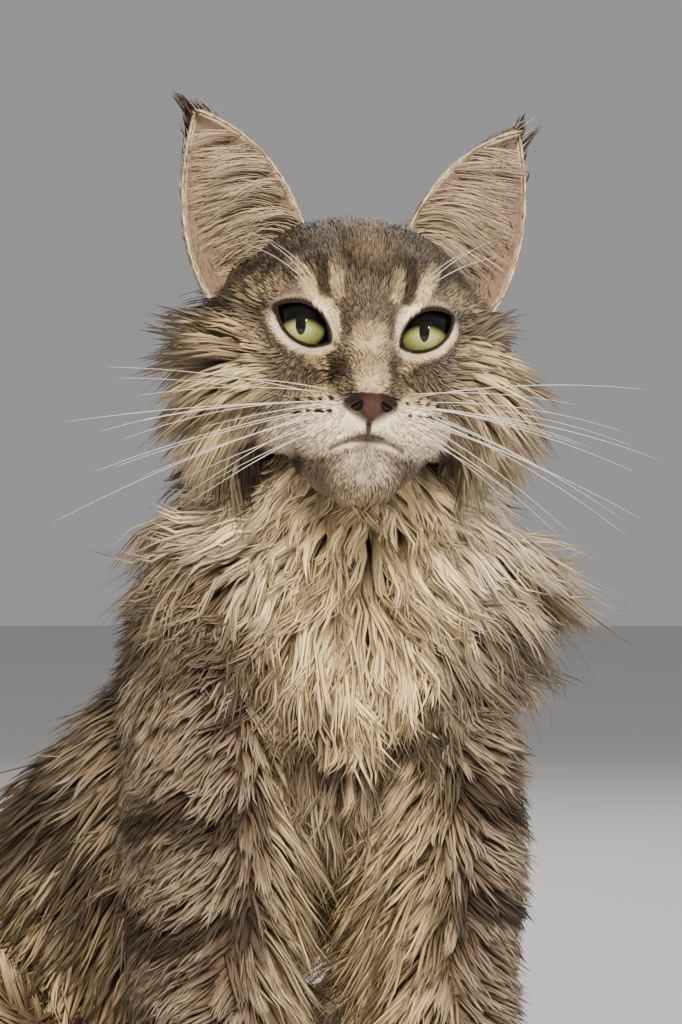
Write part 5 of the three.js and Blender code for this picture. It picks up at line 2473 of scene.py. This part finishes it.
@dataclass
class Eyes:
    """The two eyes, looking at whoever stands in front."""

    shop: Workshop
    head: HeadForm
    gaze: tuple[float, float, float] = (-0.375, -0.927, 0.0)
    bulge: float = 1.0

    def build(self, side: int) -> bpy.types.Object:
        """Makes one eye, its gaze along the map's middle.

        Args:
            side: 1 for the left and -1 for the right.

        Returns:
            The closed mesh.
        """
        eye = self.head.place(np.array([self.head.eye_place]) * (side, 1, 1))[0]
        ahead = unit(np.array([self.gaze]))[0]
        right = unit(np.cross(ahead, [[0, 0, 1.0]]))[0]
        up = np.cross(right, ahead)

        def place(points: Array) -> Array:
            """The eyeball, with its clear front raised a little.

            Args:
                points: places on a ball of radius 1.

            Returns:
                Places in the cat's millimetres.
            """
            spread = np.arccos(np.clip(points[:, 2], -1, 1))
            reach = self.head.eye_radius + self.bulge * smooth(0.95, 0.35, spread) - 0.1
            local = points * reach[:, None]
            return eye + local[:, :1] * right + local[:, 1:2] * up + local[:, 2:] * ahead

        obj = self.shop.ball(f"eye_{'left' if side > 0 else 'right'}_ball", 64, 48, place)
        self.shop.clear_maps(obj)
        rel = (self.shop.to_cat(self.shop.coordinates(obj)) - eye) / (2 * self.head.eye_radius)
        flat = columns(rel @ right + 0.5, rel @ up + 0.5)
        corners = self.shop.fetch(obj.data.loops, "vertex_index", 1, np.int32)[:, 0]
        layer = obj.data.uv_layers.new(name="gaze")
        layer.data.foreach_set("uv", flat[corners].astype(np.float32).ravel())
        self.shop.shade_smooth(obj)
        return obj


@dataclass
class Nose:
    """The nose leather: broad above, narrowing to the parting of the lip, with two nostrils."""

    shop: Workshop
    head: HeadForm
    at: tuple[float, float, float] = (0, -70.5, -30)
    size: tuple[float, float, float] = (10, 6, 5.4)

    def build(self) -> bpy.types.Object:
        """Makes the nose leather with its nostrils sunk in.

        Returns:
            The closed mesh.
        """

        def place(points: Array) -> Array:
            """The leather's form.

            Args:
                points: places on a ball of radius 1.

            Returns:
                Places in the cat's millimetres.
            """
            x, y, z = points[:, 0], points[:, 1], points[:, 2]
            narrowing = 0.26 + 0.74 * smooth(-1.05, 0.35, z)
            local = columns(x * narrowing * self.size[0], y * self.size[1], z * self.size[2])
            groove = 0.7 * np.exp(-((local[:, 0] / 0.8) ** 2)) * (y < 0) * smooth(0.6, -0.2, z)
            local[:, 1] += groove
            wing = smooth(0.45, 0.8, np.abs(x)) * smooth(0.7, 0.0, np.abs(z + 0.1)) * (y < 0.2)
            local[:, 1] -= 0.9 * wing
            return self.head.place(local + np.array(self.at))

        leather = self.shop.ball("nose_leather", 72, 52, place)
        for side in (1, -1):
            turn = math.radians(28 * side)

            def pit(points: Array, side: int = side, turn: float = turn) -> Array:
                """A comma-shaped hollow."""
                p = points * (2.7, 3.4, 1.5)
                p[:, 2] += 0.12 * p[:, 0] ** 2
                x = p[:, 0] * math.cos(turn) + p[:, 2] * math.sin(turn)
                z = -p[:, 0] * math.sin(turn) + p[:, 2] * math.cos(turn)
                return self.head.place(columns(x + 5.2 * side, p[:, 1] - 76.2, z - 30.5))

            self.shop.combine(leather, self.shop.ball("pit", 32, 24, pit), "DIFFERENCE")
        p = self.head.local(self.shop.to_cat(self.shop.coordinates(leather)))
        rel = (p - np.array(self.at)) / np.array(self.size)
        wing = smooth(0.2, 0.42, np.abs(rel[:, 0]) - 0.1 * rel[:, 2])
        edge = smooth(0.5, 0.9, rel[:, 2]) * 0.7
        # Painted shade: the leather is darkened deep in the nostrils; the rim share holds this as well as the dark
        # wings and upper edge.
        deep = smooth(-75.2, -73.6, p[:, 1]) * (np.abs(np.abs(p[:, 0]) - 5.2) < 3)
        self.shop.keep(leather.data, "rim", np.clip(np.maximum(wing * 0.9, edge) + deep, 0, 1))
        self.shop.shade_smooth(leather)
        return leather


@dataclass
class FineHair:
    """Single hairs and small hair groups placed by name: whiskers, brow hairs, ear hair and ear tips."""

    shop: Workshop
    head: HeadForm
    ear: EarForm
    on_map: Callable[[Array], Array]  # the skin's map at places in the cat's millimetres
    seed: int = 5

    def swept(self, root: Array, aim: Array, bend: Array, length: Array, steps: int) -> Array:
        """Lines that leave their roots along an aim and bend, all in the head's frame.

        Args:
            root: where each line starts.
            aim: the way it leaves.
            bend: how it turns on the way.
            length: each line's length.
            steps: how many stretches a line has.

        Returns:
            The places along each line.
        """
        share = np.linspace(0, 1, steps + 1)[None, :, None]
        reach = length[:, None, None]
        return root[:, None] + (unit(aim)[:, None] * share + bend[:, None] * share**2) * reach

    def strands(self, lines: Array, outward: Array, width: Array, tone: Array, flat: float = 0.5) -> Strands:
        """Lines in the head's frame as tufts in the cat's.

        Args:
            lines: places along each line.
            outward: the way each line's skin faces.
            width: each tuft's width in millimetres.
            tone: each tuft's tone, from 0 to 1.
            flat: a tuft's depth as a share of its width.

        Returns:
            The tufts.
        """
        count, places, _ = lines.shape
        placed = self.head.place(lines.reshape(-1, 3)).reshape(count, places, 3)
        uv = self.on_map(placed[:, 0])
        facing = self.head.direction(unit(outward))[:, None].repeat(places, 1)
        return Strands(placed, self.head.direction(outward), width, uv, tone, facing, flat)

    def whiskers(self) -> Strands:
        """The long whiskers of both pads, in four rows, and those over the eyes.

        Returns:
            The tufts.
        """
        rng = np.random.default_rng(self.seed)
        root, aim, bend, length = [], [], [], []
        for side in (1, -1):
            for row in range(4):
                for column in range(5 if row in (1, 2) else 4):
                    x = 13 + 3.4 * column + rng.uniform(-0.6, 0.6)
                    z = -24.5 - 4.2 * row + rng.uniform(-0.5, 0.5)
                    root.append([x * side, z])
                    rise = 0.12 - 0.2 * row + rng.uniform(-0.1, 0.1)
                    aim.append([side, -0.18 + 0.08 * column + rng.uniform(-0.05, 0.1), rise])
                    bend.append([0, 0.1 + rng.uniform(0, 0.1), -0.12 + rng.uniform(-0.06, 0.06)])
                    length.append(rng.uniform(62, 100) * (1 - 0.1 * abs(column - 2)) * (0.75 if row == 3 else 1))
        flat = np.array(root)
        roots = self.head.face_at(flat[:, 0], flat[:, 1])
        brows, brow_aim, brow_bend, brow_length = [], [], [], []
        for side in (1, -1):
            for i in range(3):
                brows.append([(19 + 2.6 * i) * side, 17 + 0.8 * i])
                brow_aim.append([0.6 * side + 0.14 * i * side, -0.3, 0.75 + rng.uniform(-0.1, 0.1)])
                brow_bend.append([0.15 * side, 0.3, -0.15])
                brow_length.append(rng.uniform(20, 32))
        flat = np.array(brows)
        roots = np.vstack([roots, self.head.face_at(flat[:, 0], flat[:, 1])])
        length_all = np.array(length + brow_length)
        lines = self.swept(roots, np.array(aim + brow_aim), np.array(bend + brow_bend), length_all, 10)
        width = np.where(length_all > 40, 0.34, 0.24)
        return self.strands(lines, np.tile([0, -1.0, 0], (len(roots), 1)), width, rng.random(len(roots)), 1.0)

    def across_cup(self, side: int, count: int = 1150, wisps: int = 90) -> Strands:
        """The long pale hair that crosses an ear's cup from its inner edge, in loose arched wisps.

        Args:
            side: 1 for the left and -1 for the right.
            count: how many there are.
            wisps: how many wisps they are gathered into.

        Returns:
            The tufts.
        """
        rng = np.random.default_rng(self.seed + 2 + side)
        wisp = rng.integers(0, wisps, count)
        up = np.clip((rng.beta(1.1, 1.6, wisps) * 0.8 + 0.02)[wisp] + rng.normal(0, 0.014, count), 0.01, 0.9)
        across = np.clip((-0.95 + rng.beta(1.0, 1.7, wisps) * 1.5)[wisp] + rng.normal(0, 0.08, count), -0.97, 0.7)
        root, _ = self.ear.front(across, up, side)
        wide = self.ear.edge(self.ear.outer, up)[:, 0] - self.ear.edge(self.ear.inner, up)[:, 0]
        length = wide * np.clip(0.62 - 0.42 * across, 0.2, 1) * rng.uniform(0.65, 1.0, wisps)[wisp]
        length *= rng.uniform(0.8, 1.1, count)
        turn = rng.normal(0, 0.12, (wisps, 3))[wisp] + rng.normal(0, 0.04, (count, 3))
        arch = 0.5 * smooth(0.6, 0.05, up) + 0.1
        aim = columns(1.0, -0.38 + turn[:, 1], arch - 0.1 + turn[:, 2])
        bend = columns(turn[:, 0] * 0.4, 0.1 + turn[:, 2] * 0.4, -arch * 1.1 + turn[:, 1] * 0.6)
        flip = np.array([side, 1, 1])
        lines = self.swept(root, aim * flip, bend * flip, length, 5)
        outward = np.tile([0, -1.0, 0.3], (count, 1))
        return self.strands(lines, outward, rng.uniform(0.22, 0.46, count), rng.random(count))

    def cup_down(self, side: int, count: int = 2100) -> Strands:
        """The short fine hair that lines an ear's cup.

        Args:
            side: 1 for the left and -1 for the right.
            count: how many there are.

        Returns:
            The tufts.
        """
        rng = np.random.default_rng(self.seed + 30 + side)
        up, across = rng.uniform(0.03, 0.985, count), rng.uniform(-0.99, 0.99, count)
        root, facing = self.ear.front(across, up, side)
        aim = columns((0.5 + rng.normal(0, 0.2, count)) * side, 0, 0.8)
        aim = unit(aim - facing * dots(aim, facing)) + facing * rng.uniform(0.12, 0.3, count)[:, None]
        lines = self.swept(root, aim, np.zeros((count, 3)), rng.uniform(2.5, 4.5, count), 2)
        return self.strands(lines, facing, rng.uniform(0.35, 0.7, count), rng.random(count))

    def ear_tip(self, side: int) -> Strands:
        """The dark tufts at an ear's tip, each drawn out to a point.

        Args:
            side: 1 for the left and -1 for the right.

        Returns:
            The tufts.
        """
        rng = np.random.default_rng(self.seed + 9 + side)
        wanted = ((0.16, 15, 22), (0.7, 7, 12)) if side > 0 else ((0.7, 17, 24), (0.45, 11, 14))
        rows = [(lean, reach) for lean, reach, hairs in wanted for _ in range(hairs)]
        lean, reach = np.array(rows).T
        count = len(rows)
        across, up, back = rng.uniform(-0.4, 1, count), rng.uniform(0.95, 0.995, count), rng.uniform(0.2, 0.9, count)
        root = self.ear.point(across, up, back, side)
        aim = columns(lean, 0.1, 1) + rng.normal(0, 0.06, (count, 3))
        bend = columns(lean * 0.15, 0.05, -0.06)
        length = reach * rng.uniform(0.55, 1.05, count)
        lines = self.swept(root, aim * (side, 1, 1), bend * (side, 1, 1), length, 4)
        tip = lines[:, -1:].mean(axis=0, keepdims=True)
        share = np.linspace(0, 1, 5)[None, :, None] ** 2
        lines += (tip - lines[:, -1:]) * share * 0.5
        outward = np.tile([0, -1.0, 0.0], (count, 1))
        return self.strands(lines, outward, rng.uniform(0.35, 0.7, count), rng.random(count))

    def ear_rim(self, side: int, count: int = 900) -> Strands:
        """The short pale hair that lies along both edges of an ear.

        Args:
            side: 1 for the left and -1 for the right.
            count: how many there are.

        Returns:
            The tufts.
        """
        rng = np.random.default_rng(self.seed + 15 + side)
        up = rng.uniform(0.02, 0.985, count)
        edge = np.where(rng.random(count) < 0.5, -1.0, 1.0)
        root = self.ear.point(edge * 0.99, up, rng.uniform(0.0, 0.9, count), side)
        ahead = self.ear.point(edge * 0.99, np.minimum(up + 0.02, 1), np.full(count, 0.5), side)
        behind = self.ear.point(edge * 0.99, np.maximum(up - 0.02, 0), np.full(count, 0.5), side)
        flow = unit(ahead - behind)
        out = columns(edge * side, 0, 0)
        aim = flow + out * rng.uniform(0.02, 0.2, count)[:, None] + np.array([0, -0.1, 0])
        length = rng.uniform(2.5, 4.5, count)
        lines = self.swept(root, aim, np.zeros((count, 3)), length, 2)
        facing = unit(out * 0.5 + np.array([0, -1.0, 0.1]))
        return self.strands(lines, facing, rng.uniform(0.4, 0.75, count), rng.random(count))


# The stage


@dataclass
class Studio:
    """A pale floor, soft lights and the camera."""

    shop: Workshop
    head: HeadForm
    azimuth: float = -22.0
    distance: float = 1.1
    focal: float = 3080.0  # pixels
    eyes_at: tuple[float, float] = (21.5, 182.0)  # pixels right of and above the picture's centre

    def camera(self) -> None:
        """Sets the camera where the photograph's stood."""
        eyes = self.shop.to_scene(self.head.place(np.array([[0, self.head.eye_place[1], self.head.eye_place[2]]])))[0]
        turn = math.radians(self.azimuth)
        right = np.array([math.cos(turn), math.sin(turn), 0])
        ahead = np.array([-math.sin(turn), math.cos(turn), 0])
        scale = self.distance / self.focal
        target = eyes - right * self.eyes_at[0] * scale - np.array([0, 0, self.eyes_at[1] * scale])
        place = target - ahead * self.distance
        lens = bpy.data.cameras.new("camera")
        lens.sensor_width = 36
        lens.lens = self.focal / PICTURE_HEIGHT * lens.sensor_width
        lens.clip_start = 0.01
        lens.clip_end = 60
        obj = self.shop.linked("camera", lens)
        obj.location = place
        obj.rotation_euler = Vector(ahead).to_track_quat("-Z", "Y").to_euler()
        bpy.context.scene.camera = obj

    def light(self, name: str, place: Sequence[float], size: float, power: float, colour: str, seen: bool) -> None:
        """A soft square light that points at the cat's chest, seen in wet eyes or not.

        Args:
            name: the object's name.
            place: where it is, in metres.
            size: its side in metres.
            power: its power in watts.
            colour: its colour.
            seen: whether wet eyes mirror it.
        """
        lamp = bpy.data.lights.new(name, "AREA")
        lamp.energy = power
        lamp.size = size
        lamp.color = to_linear(colour)[:3]
        obj = self.shop.linked(name, lamp)
        obj.location = place
        obj.rotation_euler = (Vector((0, 0, 0.3)) - Vector(place)).to_track_quat("-Z", "Y").to_euler()
        obj.visible_glossy = seen

    def build(self) -> None:
        """Makes the floor, the sky, the lights and the camera."""
        Workshop.clear_selection()
        bpy.ops.mesh.primitive_circle_add(vertices=96, radius=8, fill_type="NGON", location=(0, 0, 0))
        floor = bpy.context.object
        floor.name = "floor"
        with self.shop.editing(floor):
            bpy.ops.mesh.inset(thickness=5.0)
        paint = Paint("floor")
        cloud = paint.speckle(3.0)
        floor.data.materials.append(
            paint.finish(Base_Color=paint.mix(cloud, (0.62, 0.61, 0.6, 1), (0.66, 0.65, 0.64, 1)), Roughness=0.9)
        )
        world = bpy.data.worlds.new("sky")
        world.use_nodes = True
        world.node_tree.nodes["Background"].inputs[0].default_value = (0.86, 0.86, 0.88, 1)
        world.node_tree.nodes["Background"].inputs[1].default_value = 0.38
        bpy.context.scene.world = world
        self.light("key", (-0.6, -1.9, 1.2), 0.6, 88, "#ffeed8", False)
        self.light("fill", (1.5, -1.2, 0.9), 1.2, 16, "#f8f4ff", False)
        self.light("back", (0.6, 1.8, 1.7), 1.0, 30, "#ffffff", True)
        self.light("window", (-0.05, -1.9, 0.95), 0.07, 7.0, "#ffffff", True)
        self.camera()


# The whole cat

FLESH = [
    "torso", "neck", "head", "ear_left", "ear_right", "foreleg_left", "foreleg_right", "haunch_left", "haunch_right",
    "forepaw_left", "forepaw_right", "hindpaw_left", "hindpaw_right", "tail_base", "tail_middle", "tail_tip",
]


def dress(piece: bpy.types.Object, material: bpy.types.Material, slot: str, *nodes: str) -> None:
    """Gives a piece its material and its body, and hides the imported parts that it stands for.

    Args:
        piece: the piece's object.
        material: its material.
        slot: not used.
    """
    piece.data.materials.clear()
    piece.data.materials.append(material)
    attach(piece, "root")
    if nodes:
        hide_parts(*nodes)
    log.info("%s: %d faces", piece.name, len(piece.data.polygons))


def find_shift(head: HeadForm) -> Array:
    """The shift, in metres, from the cat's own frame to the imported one, from where the eyes are packed.

    Args:
        head: the head, which places the eyes.

    Returns:
        The shift, x, y and z.
    """
    shifts = []
    for node, side in (("eye_left", 1), ("eye_right", -1)):
        packed = np.mean([np.array(corner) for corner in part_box(node)], axis=0)
        own = head.place(np.array([head.eye_place]) * (side, 1, 1))[0]
        shifts.append(packed - own * MM)
    return np.mean(shifts, axis=0)


def main() -> None:
    """Builds the whole scene."""
    logging.basicConfig(level=logging.INFO, format="%(message)s")
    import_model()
    body, head, ear = Build(), HeadForm(), EarForm()
    shop = Workshop(find_shift(head))
    Studio(shop, head).build()

    markings = Markings(body, head, ear)
    skin = Skin(shop, body, head, ear, markings)
    hide = skin.build()
    field_ = CoatField(body, head, ear)
    finish = CoatFinish()
    coat = Coat(shop, hide, field_, markings)
    read = field_.read(coat.points)
    marked = markings.read(coat.points, read)
    for key in MARKS:
        shop.keep(hide.data, key, marked[key])
    # The skin under long coat takes the dark root colour, partly painted shade under the coat.
    shop.keep(hide.data, "along", 0.62 * smooth(22, 8, read["length"]))
    dress(hide, finish.material("skin", False), "fur", *FLESH)

    tuft = finish.material("coat", True)
    for piece in coat.build():
        dress(piece, tuft, "fur")
    hair = FineHair(shop, head, ear, coat.on_map)
    for side, name in ((1, "left"), (-1, "right")):
        for what, strands, marks in (
            ("cup", hair.across_cup(side), {"cream": 0.35, "white": 0.35, "dark": 0.0}),
            ("down", hair.cup_down(side), {"cream": 0.2, "white": 0.0, "dark": 0.1}),
            ("tip", hair.ear_tip(side), {"cream": 0.0, "white": 0.0, "dark": 0.85}),
            ("rim", hair.ear_rim(side), {"cream": 0.85, "white": 0.4, "dark": 0.0}),
        ):
            profile = np.linspace(0.9, 0.5, strands.steps)
            points, triangles, quads, corners, share = strands.mesh_arrays(profile)
            values = {key: np.full(len(points), number) for key, number in marks.items()}
            values |= {"along": np.maximum(share, 0.4), "tone": strands.on_vertices(strands.tone)}
            values |= {"ear": np.zeros(len(points)), "side": strands.sides(), "facing": strands.facings()}
            obj = shop.from_arrays(f"ear_{what}_{name}", points, triangles, quads, corners, values)
            dress(obj, tuft, "fur")
    whiskers = hair.whiskers()
    points, triangles, quads, corners, _ = whiskers.mesh_arrays(np.linspace(1.0, 0.25, 10))
    obj = shop.from_arrays("whiskers", points, triangles, quads, corners)
    dress(obj, HornFinish("whisker", "#f2ece2", 0.35).material(), "fur")

    iris = EyeFinish().material()
    eyes = Eyes(shop, head)
    for side, node in ((1, "eye_left"), (-1, "eye_right")):
        dress(eyes.build(side), iris, "eye", node)
    dress(Nose(shop, head).build(), NoseFinish().material(), "nose_leather", "nose")
    dress(Claws(shop, body).build(), HornFinish("claw", "#cdbda6", 0.3).material(), "nose_leather")

    bpy.context.view_layer.update()


if __name__ == "__main__":
    main()
